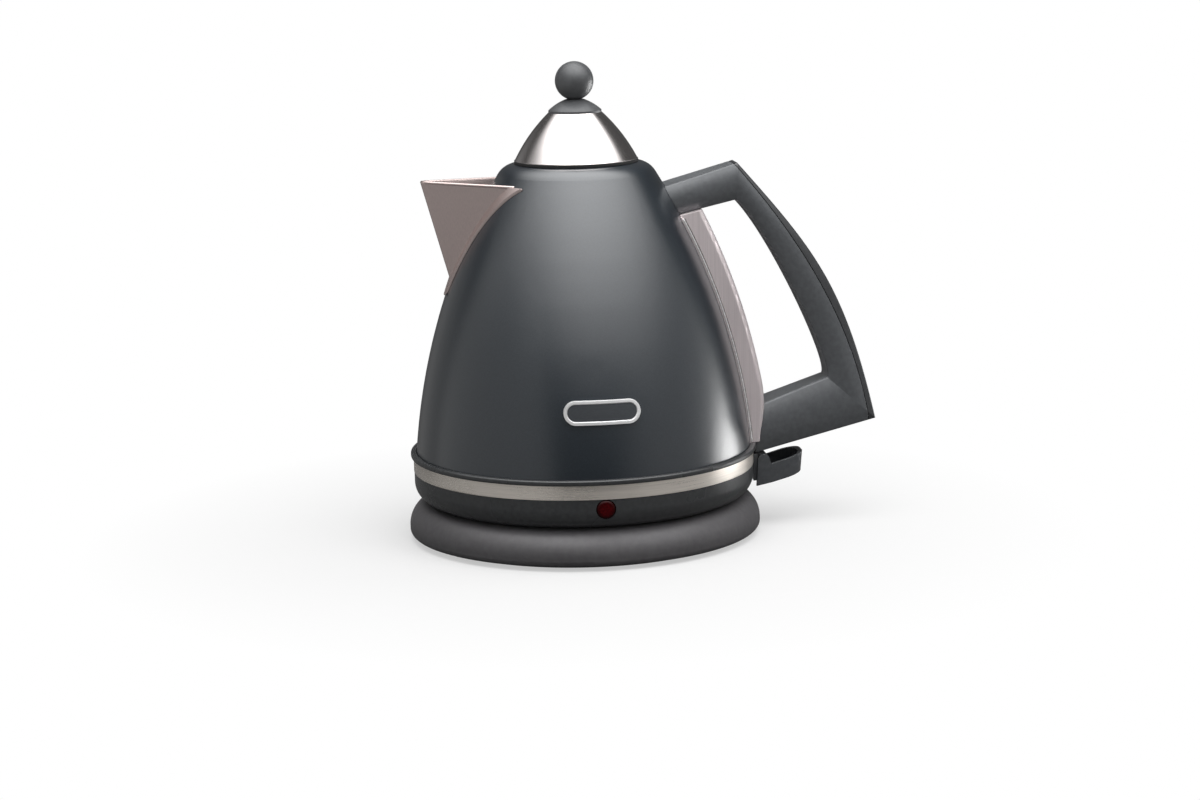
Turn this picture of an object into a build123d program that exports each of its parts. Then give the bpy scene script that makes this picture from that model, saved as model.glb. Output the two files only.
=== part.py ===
from build123d import *
import os
from math import cos, degrees, hypot, radians, sin, sqrt, tan

os.makedirs("parts", exist_ok=True)

# Electric kettle on a round power base, in millimetres.
# The origin is on the floor, on the axis of the base. +Z is up, the handle points to +X,
# the spout to -X and the red lens and the oval plate to -Y.

# Clearances
fit_gap = 0.05  # between pieces that are fixed to each other
run_gap = 0.35  # between pieces that slide past each other
pin_gap = 0.05  # around a hinge pin
seat_gap = 0.1  # under the kettle's foot, and under the lid's seal
seam = 0.3  # visible line between two moulded pieces

# Power base
base_height = 19.0
base_radius = 87.5
base_rim_round = 12.5
base_tuck = 3.0  # how far the rim draws in at its lower edge
base_edge = 2.0  # height of that edge above the floor
base_wall = 2.2
base_floor = 1.2  # underside of the bottom plate above the floor
base_plate = 2.0
foot_width = 6.0
foot_inner = 72.0
foot_groove = 0.8
boss_height = 6.5
boss_lip = 2.0
boss_lip_radius = 17.8
boss_lip_width = 0.9
boss_foot_radius = 21.5
boss_tip_radius = 13.4
base_screw_circle = 62.0
base_boss_radius = 4.0

# Socket post in the base
post_radius = 12.3
post_cap_radius = 12.9
post_cap_height = 3.2
post_height = 16.0  # above the flat top of the base
post_flange_radius = 18.0
post_flange = 2.5
slot_depth = 13.0
earth_slot = 2.6  # radius of the hole in the middle
live_slot_inner = 4.4
neutral_slot_inner = 8.2
live_slot_width = 2.0
neutral_slot_width = 2.6
contact_sheet = 0.4
contact_height = 9.0
shutter_wall = 0.5
shutter_height = 8.0

# Cord gland in the rim of the base
gland_bore = 3.3
gland_radius = 4.3
gland_flange_radius = 4.9
gland_flange = 2.0
gland_height = 8.3
gland_length = 7.0

# Screws
screw_radius = 1.4
screw_head_radius = 2.7
screw_head = 1.1
screw_slot = 0.8
screw_reach = 9.0

# Skirt, trim band and lip under the shell
skirt_radius = 84.5
skirt_round = 9.5
skirt_wall = 3.0
skirt_floor = 5.0
foot_ring_width = 9.0  # flat foot between the rounded edge and the bottom cover
cover_ledge = 5.6
cover_recess = 0.9
cover_sheet = 2.1
band_low = 15.0
band_height = 7.0
band_sheet = 0.7
band_proud = 0.2
lip_height = 2.5
lip_proud = 1.5
lip_width = 2.7
lip_round = 0.8
ledge_width = 3.7
ledge_sheet = 2.0

# Shell: one circular arc from the lip to the shoulder
shell_top_radius = 35.6
shell_height = 144.0
shell_bulge = 9.1
shell_wall = 1.2
shoulder_round = 10.5
mouth_radius = 27.0
neck_depth = 8.0

# Spout
spout_overhang = 39.3  # tip ahead of the shell at the height of the rim
spout_drop = 7.0  # tip of the rim below the top of the shell
spout_fall = 2.4  # angle by which the rim falls from the tip to the shell
spout_depth = 60.0  # rim down to the root of the keel
keel_sink = 4.3  # root of the keel inside the shell
spout_spread = 54.4  # angle between the side walls at the rim
spout_wall = 1.2
spout_flange = 3.8
spout_flange_sheet = 1.0
spout_flange_end = 1.5  # flange past the corner of the rim
keel_round = 2.0
pour_rim = 3.5

# Filter behind the spout
filter_drop = 14.0  # top of the filter below the top of the shell
filter_height = 38.0
filter_top_depth = 11.3  # from the shell's face in to the back of the filter
filter_low_depth = 6.4
filter_top_width = 38.0
filter_low_width = 18.0
filter_wall = 1.5
filter_bar = 2.6
mesh_sheet = 0.4
mesh_pitch = 2.4
mesh_hole = 1.4

# Spine under the handle
spine_depth = 9.7
spine_width = 28.0
spine_round = 2.5
spine_wall = 1.2
spine_flange = 1.8
spine_flange_sheet = 0.7
spine_flange_drop = 27.5  # top of the flange below the top of the shell
spine_bend = 45.0  # height where the outer face leans in to the lip
spine_bend_round = 60.0
spine_proud = 1.4  # foot of the spine ahead of the lip
gauge_low = 62.0
gauge_drop = 42.0  # top of the window below the top of the shell
gauge_width = 8.0
gauge_sheet = 1.6
gauge_proud = 0.3
gauge_seal_rim = 2.0
gauge_seal_sheet = 1.0
steam_radius = 2.5
steam_bore = 1.8
steam_drop = 34.0
steam_low = 44.0
steam_bend = 3.6

# Handle: upper corner points are given from the shell's top edge and lower ones from the
# skirt's radius and the kettle's foot, each as (outwards, upwards)
handle_root_width = 27.0
handle_grip_width = 21.0
handle_crown = 2.8
handle_round = 1.4
top_root_upper = (-5.6, -16.0)
top_root_lower = (2.4, -28.9)
top_corner_outer = (43.2, -2.5)
top_corner_inner = (42.2, -20.7)
upper_grip_outer = (72.9, -38.7)
upper_grip_inner = (60.3, -46.5)
lower_grip_outer = (50.9, 76.0)
lower_grip_inner = (34.7, 70.0)
low_corner_outer = (62.8, 32.5)
low_corner_inner = (38.1, 54.6)
low_root_upper = (-2.5, 40.5)
low_root_lower = (-2.5, 17.5)
strip_depth = 3.4
handle_screw_height = 36.0
handle_screw_spread = 13.0
handle_screw_reach = 14.0

# Oval plate on the front
plate_width = 36.6
plate_height = 11.4
plate_level = 55.8
plate_sheet = 1.2
plate_rim = 1.5
plate_recess = 0.4

# Red lens and its lamp
lens_radius = 4.7
lens_level = 10.2
lens_proud = 0.7
lens_round = 1.8
lens_length = 6.5
lamp_radius = 2.6
lamp_length = 13.0
lamp_gap = 0.3
holder_width = 10.0
holder_depth = 9.0
holder_height = 9.5

# Heated floor of the vessel
plate_gap = 2.5  # floor plate above the ledge that carries the seal
floor_sheet = 1.2
seal_height = 5.6
seal_width = 2.2
seal_grip = 1.0
diffuser_radius = 62.0
diffuser_sheet = 2.5
element_circle = 48.0
element_radius = 3.3
element_open = 50.0  # angle between the two ends of the ring

# Control under the floor
control_radius = 28.0
control_low = 4.5
control_top = 20.0
cavity_radius = 14.2
cavity_mouth = 19.0
cavity_flare = 4.5
cavity_depth = 17.5
control_screw_circle = 24.0
control_post = 3.4
pin_radius = 1.6
pin_low = 7.0
pin_root = 1.5
live_ring_radius = 5.4
neutral_ring_radius = 9.8
ring_sheet = 0.5
ring_low = 8.0
ring_root = 1.0
bimetal_radius = 8.0
bimetal_sheet = 0.5
bimetal_circle = 16.5
trip_lug_reach = 8.0
trip_lug_width = 6.0
trip_lug_height = 3.0

# Bottom cover
cover_hole = 24.0
cover_screw_inset = 4.0
cover_boss_radius = 3.6
cover_boss_height = 6.0

# Switch lever behind the skirt: points are (beyond the skirt's radius, above the kettle's foot)
lever_pivot = (4.8, 14.6)
lever_width = 24.0
lever_wall = 1.8
lever_foot = (1.0, 1.6)
lever_heel = (9.0, 3.2)
lever_toe = (24.9, 7.4)
lever_tip = (25.8, 17.4)
lever_rim = (8.6, 12.6)
lever_ear = 3.0
lever_end_round = 9.0
lever_floor = 1.9
scoop_start = 6.5
tail_width = 7.0
tail_sheet = 2.8
tail_level = 6.3
tail_reach = 8.5
switch_pin_radius = 1.5
housing_sheet = 2.2
housing_low = 4.0
housing_high = 17.6
tongue_width = 10.0
tongue_radius = 3.2
tail_slot_low = 4.6
tail_slot_high = 14.0
tail_slot_width = 9.0

# Trip rocker between the lever and the control
rocker_inset = 9.0  # pivot inside the rim of the bottom cover
rocker_level = 11.0
rocker_lap = 4.0  # over the lever's tail and under the control's lug
rocker_sheet = 3.0
rocker_width = 7.0
rocker_boss = 3.0
rocker_pin_radius = 1.2
rocker_ear_width = 3.0
rocker_ear_length = 5.6
rocker_side_gap = 0.4

# Lid
lid_seal_height = 1.4
lid_overlap = 3.1  # edge of the lid outside the mouth
lid_seal_proud = 0.3
lid_height = 23.0
lid_crown_radius = 13.0
lid_bulge = 1.25
lid_wall = 0.8
plug_wall = 1.5
plug_drop = 6.0
plug_plate = 1.2
plug_rim = 1.6
plug_boss = 5.0
collar_edge = 1.0
collar_height = 6.3
collar_neck = 4.4
collar_bulge = 0.5
knob_radius = 9.45
knob_sink = 0.5
lid_screw_radius = 1.55
lid_screw_head = 2.2
lid_screw_head_radius = 3.1
lid_screw_reach = 7.0

# Levels worked out from the sizes above
seat = base_height + seat_gap
base_inside = base_floor + base_plate
post_top = base_height + post_height
slot_floor = post_top - slot_depth
post_bore = post_radius + fit_gap
band_top = seat + band_low + band_height
lip_top = band_top + lip_height
shell_foot = band_top
shell_top = shell_foot + shell_height
floor_low = shell_foot + plate_gap
floor_top = floor_low + floor_sheet
seal_top = shell_foot + seal_height
diffuser_low = floor_low - diffuser_sheet
ceiling = seat + cavity_depth
control_roof = seat + control_top
cover_low = seat + cover_recess
cover_top = cover_low + cover_sheet
skirt_inside = seat + skirt_floor
spout_top = shell_top - spout_drop
filter_top = shell_top - filter_drop
filter_low = filter_top - filter_height
gauge_high = shell_top - gauge_drop
steam_high = shell_top - steam_drop
lid_seat = shell_top + seat_gap
lid_low = lid_seat + lid_seal_height
lid_high = lid_low + lid_height
collar_top = lid_high + collar_height
knob_centre = collar_top + knob_radius - knob_sink

# Radii worked out from the sizes above
lip_radius = skirt_radius + lip_proud
shell_foot_radius = lip_radius - lip_width
spine_tip = lip_radius + spine_proud
foot_ring_inner = skirt_radius - skirt_round - foot_ring_width
cover_screw_circle = foot_ring_inner - cover_screw_inset
lid_radius = mouth_radius + lid_overlap
lid_seal_radius = lid_radius + lid_seal_proud
band_radius = skirt_radius + band_proud
groove_radius = band_radius - band_sheet - fit_gap
ledge_inner = shell_foot_radius - ledge_width
live_slot_outer = live_slot_inner + live_slot_width
neutral_slot_outer = neutral_slot_inner + neutral_slot_width
thread_bore = screw_radius + fit_gap

# Circle that the shell's outline follows, as (radius, height) of its centre
chord_in = shell_foot_radius - shell_top_radius
chord = hypot(chord_in, shell_height)
shell_arc = (chord**2 / 4 + shell_bulge**2) / (2 * shell_bulge)
arc_sink = shell_arc - shell_bulge
arc_centre = (
    (shell_foot_radius + shell_top_radius) / 2 - arc_sink * shell_height / chord,
    (shell_foot + shell_top) / 2 - arc_sink * chord_in / chord,
)


def shell_radius(height, out=0.0):
    """Radius of the shell's outer face at a height, moved out by a distance."""
    rise = height - arc_centre[1]
    return arc_centre[0] + sqrt((shell_arc + out) ** 2 - rise**2)


def shell_arc_points(low, high, out=0.0):
    """Three points of the shell's outline between two heights."""
    heights = (low, (low + high) / 2, high)
    return [(shell_radius(height, out), height) for height in heights]


def from_foot(point):
    """Point given from the skirt's radius and the kettle's foot, in the shared frame."""
    return (skirt_radius + point[0], seat + point[1])


def from_top(point):
    """Point given from the top edge of the shell, in the shared frame."""
    return (shell_top_radius + point[0], shell_top + point[1])


def turn(points):
    """Revolve a closed outline of (radius, height) points around the axis."""
    with BuildSketch(Plane.XZ) as outline:
        with BuildLine():
            Polyline(*points, close=True)
        make_face()
    revolve(outline.sketch, axis=Axis.Z)


def disc(radius, low, high, hole=0.0, mode=Mode.ADD):
    """Upright disc or ring on the axis, between two heights."""
    with BuildSketch(Plane.XY.offset(low)) as outline:
        Circle(radius)
        if hole > 0:
            Circle(hole, mode=Mode.SUBTRACT)
    extrude(outline.sketch, amount=high - low, mode=mode)


def pegs(radius, low, high, circle, count, start, mode=Mode.ADD):
    """Upright round pegs or holes, evenly spaced on a circle."""
    with BuildSketch(Plane.XY.offset(low)) as outline:
        with PolarLocations(circle, count, start):
            Circle(radius)
    extrude(outline.sketch, amount=high - low, mode=mode)


def upright_screws(low, reach, circle, count, start):
    """Slotted screws that point up, with their heads from a height."""
    neck = low + screw_head
    pegs(screw_head_radius, low, neck, circle, count, start)
    pegs(screw_radius, neck, neck + reach, circle, count, start)
    with BuildSketch(Plane.XY.offset(low)) as slots:
        with PolarLocations(circle, count, start):
            Rectangle(screw_slot, 2 * screw_head_radius)
    extrude(slots.sketch, amount=screw_head / 2, mode=Mode.SUBTRACT)


def screw_holes(low, reach, circle, count, start):
    """Room for those screws, heads included."""
    neck = low + screw_head + fit_gap
    pegs(screw_head_radius + run_gap, low - screw_head, neck, circle, count, start, Mode.SUBTRACT)
    pegs(thread_bore, neck, neck + reach + fit_gap, circle, count, start, Mode.SUBTRACT)


def cross_bar(radius, at, width, mode=Mode.ADD):
    """Round bar along Y at an (x, height) point, as wide as asked."""
    with BuildSketch(Plane.XZ) as outline:
        with Locations(at):
            Circle(radius)
    extrude(outline.sketch, amount=width / 2, both=True, mode=mode)


def slab(points, width, mode=Mode.ADD):
    """Flat outline of (x, height) points, thickened evenly along Y."""
    with BuildSketch(Plane.XZ) as outline:
        with BuildLine():
            Polyline(*points, close=True)
        make_face()
    extrude(outline.sketch, amount=width / 2, both=True, mode=mode)


def block(low, high, mode=Mode.ADD):
    """Box between two opposite corners."""
    size = [b - a for a, b in zip(low, high)]
    with BuildSketch(Plane.XY.offset(low[2])) as outline:
        with Locations(((low[0] + high[0]) / 2, (low[1] + high[1]) / 2)):
            Rectangle(size[0], size[1])
    extrude(outline.sketch, amount=size[2], mode=mode)


def shell_form(out, low=shell_foot, high=shell_top):
    """Everything inside the shell's outer face, moved out by a distance."""
    with BuildPart() as form:
        with BuildSketch(Plane.XZ):
            with BuildLine():
                arc = ThreePointArc(*shell_arc_points(low, high, out))
                Polyline(arc @ 1, (0, high), (0, low), arc @ 0)
            make_face()
            shoulder = vertices().group_by(Axis.Y)[-1].sort_by(Axis.X)[-1]
            fillet(shoulder, shoulder_round + out)
        revolve(axis=Axis.Z)
    return form.part


def shell_layer(inner, outer, low, high):
    """Skin that follows the shell, between two distances from its outer face."""
    with BuildPart() as layer:
        with BuildSketch(Plane.XZ):
            with BuildLine():
                near = ThreePointArc(*shell_arc_points(low, high, inner))
                far = ThreePointArc(*shell_arc_points(low, high, outer))
                Line(near @ 0, far @ 0)
                Line(near @ 1, far @ 1)
            make_face()
        revolve(axis=Axis.Z)
    return layer.part


# Half of the angle between the spout's side walls, seen from above, and the run of its keel
spout_half = radians(spout_spread / 2)
spout_reach = shell_radius(spout_top) + spout_overhang
keel_lean = spout_reach - shell_radius(spout_top - spout_depth) + keel_sink

# Corner where a side wall meets the shell at the rim
wall_aside = spout_reach * sin(spout_half)
wall_run = spout_reach * cos(spout_half) - sqrt(max(0.0, shell_radius(spout_top) ** 2 - wall_aside**2))
rim_corner = wall_run * cos(spout_half) - spout_reach


def beak_form(back, rise=0.0):
    """Solid wedge of the spout, moved back towards the axis and carried on upwards."""
    root = (back - spout_reach + keel_lean, spout_top - spout_depth)
    grow = (spout_depth + rise) / spout_depth
    tip = root[0] - keel_lean * grow
    half_width = spout_reach * tan(spout_half) * grow
    with BuildPart() as wedge:
        with BuildSketch(Plane.XY.offset(spout_top + rise)) as rim:
            with BuildLine():
                Polyline(
                    (tip, 0),
                    (tip + spout_reach * grow, half_width),
                    (tip + spout_reach * grow, -half_width),
                    close=True,
                )
            make_face()
        loft([rim.sketch.faces()[0], Vertex(root[0], 0, root[1])])
    return wedge.part


def thick(wall):
    """Distance along X that moves the spout's side walls by a wall's thickness."""
    return wall / sin(spout_half)


def handle_section(outer, inner, width=handle_grip_width):
    """Crowned, rounded section of the handle between an outer and an inner point."""
    half = hypot(outer[0] - inner[0], outer[1] - inner[1]) / 2
    along = Vector(outer[0] - inner[0], 0, outer[1] - inner[1])
    middle = Vector((outer[0] + inner[0]) / 2, 0, (outer[1] + inner[1]) / 2)
    side = width / 2
    edge = side - handle_crown
    section_plane = Plane(origin=middle, x_dir=along, z_dir=along.cross(Vector(0, 1, 0)))
    with BuildSketch(section_plane) as section:
        with BuildLine():
            near = ThreePointArc((-half, -edge), (0, -side), (half, -edge))
            far = ThreePointArc((half, edge), (0, side), (-half, edge))
            Line(near @ 1, far @ 0)
            Line(far @ 1, near @ 0)
        make_face()
        fillet(vertices(), handle_round)
    return section.sketch.faces()[0]


# Lines of the handle's outer and inner edge along the grip, from the top corner down
grip_outer = [
    from_top(top_corner_outer),
    from_top(upper_grip_outer),
    from_foot(lower_grip_outer),
    from_foot(low_corner_outer),
]
grip_inner = [
    from_top(top_corner_inner),
    from_top(upper_grip_inner),
    from_foot(lower_grip_inner),
    from_foot(low_corner_inner),
]
top_root = from_top(top_root_lower)

# Sections at the two ends, at the two mitres and along the grip
top_end = handle_section(from_top(top_root_upper), top_root, handle_root_width)
top_mitre, upper_grip, lower_grip, low_mitre = [
    handle_section(outer, inner) for outer, inner in zip(grip_outer, grip_inner)
]
low_end = handle_section(from_foot(low_root_lower), from_foot(low_root_upper), handle_root_width)


def strip_point(outer, inner, inset):
    """Point of the grip, a distance inside its outer edge."""
    lean = Vector(outer[0] - inner[0], outer[1] - inner[1]).normalized()
    return (outer[0] - inset * lean.X, outer[1] - inset * lean.Y)


def strip_side(inset):
    """Everything beyond a line that follows the grip's outer edge, across the handle."""
    top_corner, upper, lower, low_corner = grip_outer
    start = (top_corner[0] - inset, top_corner[1] + strip_depth / 2)
    end = (low_corner[0] - inset, low_corner[1] - strip_depth / 2)
    away = low_corner[0] + handle_grip_width
    with BuildPart() as side:
        with BuildSketch(Plane.XZ):
            with BuildLine():
                edge = Spline(
                    start,
                    strip_point(upper, grip_inner[1], inset),
                    strip_point(lower, grip_inner[2], inset),
                    end,
                )
                Polyline(edge @ 1, (away, end[1]), (away, start[1]), edge @ 0)
            make_face()
        extrude(amount=handle_grip_width, both=True)
    return side.part


def spine_form(inset):
    """Outside form of the spine, drawn in all round by a distance."""
    bend = seat + spine_bend
    slope = (grip_inner[0][1] - top_root[1]) / (grip_inner[0][0] - top_root[0])
    out = spine_depth - inset

    def under_bar(across):
        """Height just below the underside of the handle's top bar."""
        return top_root[1] + slope * (across - top_root[0]) - fit_gap - inset

    high = top_root[1]
    for _ in range(4):
        high = under_bar(shell_radius(high, out))
    inside = shell_radius(high) - spine_depth
    with BuildPart() as form:
        with BuildSketch(Plane.XZ):
            with BuildLine():
                face = ThreePointArc(*shell_arc_points(bend, high, out))
                tip = (spine_tip - inset, lip_top + fit_gap + inset)
                Polyline(face @ 0, tip, (inside, tip[1]), (inside, under_bar(inside)), face @ 1)
            make_face()
            fillet(vertices().sort_by_distance(face @ 0)[0], spine_bend_round)
        extrude(amount=spine_width / 2 - inset, both=True)
        outer_edges = [
            edge
            for edge in edges()
            if (edge @ 0.5).X > shell_radius((edge @ 0.5).Z, spine_depth / 2)
            and abs((edge @ 0.5).Y) > spine_width / 4
        ]
        fillet(outer_edges, spine_round - inset)
    return form.part


# Forms that several pieces are cut to
shell_outside = shell_form(fit_gap, shell_foot - shell_wall)
shell_inside = shell_form(-shell_wall, shell_foot - shell_wall, shell_top - shell_wall)
spine_outside = spine_form(-fit_gap)
spine_inside = spine_form(spine_wall)

# Base cover: rounded disc with a raised boss around the socket post
with BuildPart() as base_cover:
    with BuildSketch(Plane.XZ):
        tuck_top = base_edge + base_tuck
        rim_low = base_height - base_rim_round
        rim_inner = base_radius - base_rim_round
        skin = base_radius - base_wall
        under = base_height - base_wall
        with BuildLine():
            Polyline(
                (post_bore, under),
                (post_bore, base_height + boss_height),
                (boss_tip_radius, base_height + boss_height),
                (boss_lip_radius - boss_lip_width, base_height + boss_lip),
                (boss_lip_radius, base_height + boss_lip),
                (boss_foot_radius, base_height),
                (rim_inner, base_height),
            )
            RadiusArc((rim_inner, base_height), (base_radius, rim_low), base_rim_round)
            Line((base_radius, rim_low), (base_radius, tuck_top))
            RadiusArc((base_radius, tuck_top), (base_radius - base_tuck, base_edge), base_tuck)
            Polyline(
                (base_radius - base_tuck, base_edge),
                (skin - base_tuck, base_edge),
                (skin, tuck_top),
                (skin, rim_low),
            )
            RadiusArc((skin, rim_low), (rim_inner, under), -(base_rim_round - base_wall))
            Line((rim_inner, under), (post_bore, under))
        make_face()
    revolve(axis=Axis.Z)
    pegs(base_boss_radius, base_inside, under, base_screw_circle, 3, 30)
    screw_holes(base_floor, screw_reach, base_screw_circle, 3, 30)
    with BuildSketch(Plane.XZ.offset(gland_length - base_radius)):
        with Locations((0, gland_height)):
            Circle(gland_radius + fit_gap)
    extrude(amount=-2 * gland_length, mode=Mode.SUBTRACT)

# Bottom plate of the base, with the groove for the foot ring
with BuildPart() as base_bottom:
    disc(skin - base_tuck - run_gap, base_floor, base_inside)
    disc(foot_inner + foot_width, base_floor, base_floor + foot_groove, foot_inner, Mode.SUBTRACT)
    screw_holes(base_floor, screw_reach, base_screw_circle, 3, 30)

with BuildPart() as foot_ring:
    disc(foot_inner + foot_width - fit_gap, 0, base_floor + foot_groove, foot_inner + fit_gap)

with BuildPart() as base_screws:
    upright_screws(base_floor + fit_gap, screw_reach, base_screw_circle, 3, 30)

# Socket post with a hole and two ring slots for the kettle's contacts
with BuildPart() as base_socket:
    disc(post_radius, base_inside, post_top)
    disc(post_flange_radius, under - post_flange, under)
    disc(post_cap_radius, post_top - post_cap_height, post_top)
    chamfer(edges().group_by(Axis.Z)[-1], (post_cap_radius - post_radius))
    disc(earth_slot, slot_floor, post_top, mode=Mode.SUBTRACT)
    disc(live_slot_outer, slot_floor, post_top, live_slot_inner, Mode.SUBTRACT)
    disc(neutral_slot_outer, slot_floor, post_top, neutral_slot_inner, Mode.SUBTRACT)


def contact_blade(slot_outer, width):
    """Upright sprung blade against the outer wall of a slot."""
    back = sqrt((slot_outer - fit_gap) ** 2 - width**2 / 4)
    block(
        (back - contact_sheet, -width / 2, slot_floor),
        (back, width / 2, slot_floor + contact_height),
    )


with BuildPart() as socket_earth_contact:
    contact_blade(earth_slot, 4 * contact_sheet)

with BuildPart() as socket_live_contact:
    contact_blade(live_slot_outer, 6 * contact_sheet)

with BuildPart() as socket_neutral_contact:
    contact_blade(neutral_slot_outer, 8 * contact_sheet)

# Safety ring in the outer slot, which turns with the kettle
with BuildPart() as shutter_ring:
    shutter_inner = neutral_slot_inner + run_gap
    disc(shutter_inner + shutter_wall, slot_floor + fit_gap, slot_floor + shutter_height, shutter_inner)

# Rubber gland where a cord enters the base
with BuildPart() as cord_gland:
    gland_start = base_radius - gland_length
    with BuildSketch(Plane.XZ.offset(-gland_start)):
        with Locations((0, gland_height)):
            Circle(gland_radius)
    extrude(amount=-gland_length)
    with BuildSketch(Plane.XZ.offset(-gland_start)):
        with Locations((0, gland_height)):
            Circle(gland_flange_radius)
    extrude(amount=-gland_flange)
    with BuildSketch(Plane.XZ.offset(-gland_start)):
        with Locations((0, gland_height)):
            Circle(gland_bore)
    extrude(amount=-gland_length, mode=Mode.SUBTRACT)

# Skirt with the groove for the trim band and the lip around the shell
with BuildPart() as lower_skirt:
    with BuildSketch(Plane.XZ):
        heel = skirt_radius - skirt_round
        wall_inner = skirt_radius - skirt_wall
        inner_round = skirt_round - skirt_floor
        round_top = seat + skirt_round
        ledge_low = shell_foot - ledge_sheet
        lip_inner = shell_foot_radius + fit_gap
        with BuildLine():
            Line((foot_ring_inner, seat), (heel, seat))
            RadiusArc((heel, seat), (skirt_radius, round_top), -skirt_round)
            Polyline(
                (skirt_radius, round_top),
                (skirt_radius, seat + band_low),
                (groove_radius, seat + band_low),
                (groove_radius, band_top),
                (lip_radius, band_top),
                (lip_radius, lip_top),
                (lip_inner, lip_top),
                (lip_inner, shell_foot),
                (ledge_inner, shell_foot),
                (ledge_inner, ledge_low),
                (wall_inner, ledge_low),
                (wall_inner, round_top),
            )
            RadiusArc((wall_inner, round_top), (wall_inner - inner_round, skirt_inside), inner_round)
            Polyline(
                (wall_inner - inner_round, skirt_inside),
                (foot_ring_inner - cover_ledge, skirt_inside),
                (foot_ring_inner - cover_ledge, cover_top),
                (foot_ring_inner, cover_top),
                (foot_ring_inner, seat),
            )
        make_face()
        fillet(vertices().sort_by(Axis.X)[-2:], lip_round)
    revolve(axis=Axis.Z)
    pegs(cover_boss_radius, skirt_inside, skirt_inside + cover_boss_height, cover_screw_circle, 3, 60)
    screw_holes(cover_low, screw_reach, cover_screw_circle, 3, 60)
    with BuildSketch(Plane.XZ):
        with Locations((0, seat + lens_level)):
            Circle(lens_radius + fit_gap)
    extrude(amount=lip_radius, mode=Mode.SUBTRACT)
    block(
        (heel, -tail_slot_width / 2, seat + tail_slot_low),
        (lip_radius, tail_slot_width / 2, seat + tail_slot_high),
        Mode.SUBTRACT,
    )

with BuildPart() as trim_band:
    disc(band_radius, seat + band_low + fit_gap, band_top - fit_gap, groove_radius + fit_gap)

# Painted metal shell: vessel wall, neck at the mouth, pour hole and steam hole
with BuildPart() as body_shell:
    add(shell_form(0))
    add(shell_inside, mode=Mode.SUBTRACT)
    disc(mouth_radius + shell_wall, shell_top - neck_depth, shell_top)
    disc(mouth_radius, shell_top - neck_depth, shell_top, mode=Mode.SUBTRACT)
    with BuildPart(mode=Mode.PRIVATE) as pour_hole:
        add(beak_form(thick(spout_wall + pour_rim)))
        split(bisect_by=Plane.XY.offset(spout_top - pour_rim), keep=Keep.BOTTOM)
    add(pour_hole.part, mode=Mode.SUBTRACT)
    with BuildSketch(Plane.YZ):
        with Locations((0, steam_high)):
            Circle(steam_radius + fit_gap)
    extrude(amount=shell_foot_radius, mode=Mode.SUBTRACT)

# Folded V-shaped spout with a flange along the shell
with BuildPart() as spout:
    add(beak_form(0))
    keel = edges().filter_by(lambda edge: abs((edge @ 0.5).Y) < fit_gap).sort_by(Axis.X)[0]
    fillet(keel, keel_round)
    add(beak_form(thick(spout_wall), spout_drop), mode=Mode.SUBTRACT)
    flange_low = spout_top - spout_depth - spout_flange
    with BuildPart(mode=Mode.PRIVATE) as flange:
        add(beak_form(-thick(spout_flange)))
        add(shell_layer(-shell_wall, fit_gap + spout_flange_sheet, flange_low, spout_top), mode=Mode.INTERSECT)
        add(beak_form(thick(spout_wall), spout_drop), mode=Mode.SUBTRACT)
        block(
            (rim_corner + spout_flange_end, -shell_foot_radius, flange_low),
            (shell_foot_radius, shell_foot_radius, shell_top),
            Mode.SUBTRACT,
        )
    add(flange.part)
    add(shell_outside, mode=Mode.SUBTRACT)
    fall = radians(spout_fall)
    split(bisect_by=Plane((-spout_reach, 0, spout_top), z_dir=(sin(fall), 0, cos(fall))), keep=Keep.BOTTOM)

# Plane of the filter's back, leaning with the shell
filter_top_inset = shell_radius(filter_top) - filter_top_depth
filter_low_inset = shell_radius(filter_low) - filter_low_depth
filter_lean = Vector(filter_low_inset - filter_top_inset, 0, filter_height).normalized()
filter_plane = Plane(
    origin=(-filter_low_inset, 0, filter_low),
    x_dir=(0, 1, 0),
    z_dir=Vector(0, 1, 0).cross(filter_lean),
)
filter_length = hypot(filter_low_inset - filter_top_inset, filter_height)


def filter_outline(inset):
    """Trapezium of the filter, narrower at the bottom, drawn in by a distance."""
    low_half = filter_low_width / 2 - inset
    top_half = filter_top_width / 2 - inset
    with BuildLine() as sides:
        Polyline(
            (-low_half, inset),
            (low_half, inset),
            (top_half, filter_length - inset),
            (-top_half, filter_length - inset),
            close=True,
        )
    make_face(sides.edges())


# Filter: walls that reach the shell around the pour hole, and a back with two windows
with BuildPart() as filter_frame:
    with BuildSketch(filter_plane):
        filter_outline(0)
    extrude(amount=-spout_reach)
    with BuildSketch(filter_plane.offset(-filter_wall)):
        filter_outline(filter_wall)
    extrude(amount=-spout_reach, mode=Mode.SUBTRACT)
    with BuildSketch(filter_plane):
        filter_outline(filter_bar)
        with Locations((0, filter_length / 2)):
            Rectangle(filter_bar, filter_length, mode=Mode.SUBTRACT)
    extrude(amount=-filter_wall, mode=Mode.SUBTRACT)
    add(shell_form(-shell_wall - run_gap, shell_foot, shell_top - shell_wall - run_gap), mode=Mode.INTERSECT)

with BuildPart() as filter_mesh:
    with BuildSketch(filter_plane.offset(-filter_wall)):
        filter_outline(filter_wall + fit_gap)
        rows = int((filter_length - 2 * filter_bar) / mesh_pitch)
        widening = (filter_top_width - filter_low_width) / filter_length
        for row in range(rows):
            level = filter_length / 2 + (row - (rows - 1) / 2) * mesh_pitch
            row_width = filter_low_width + widening * level - 2 * filter_bar
            with Locations((0, level)):
                with GridLocations(mesh_pitch, mesh_pitch, int(row_width / mesh_pitch), 1):
                    Rectangle(mesh_hole, mesh_hole, mode=Mode.SUBTRACT)
    extrude(amount=-mesh_sheet)

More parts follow.
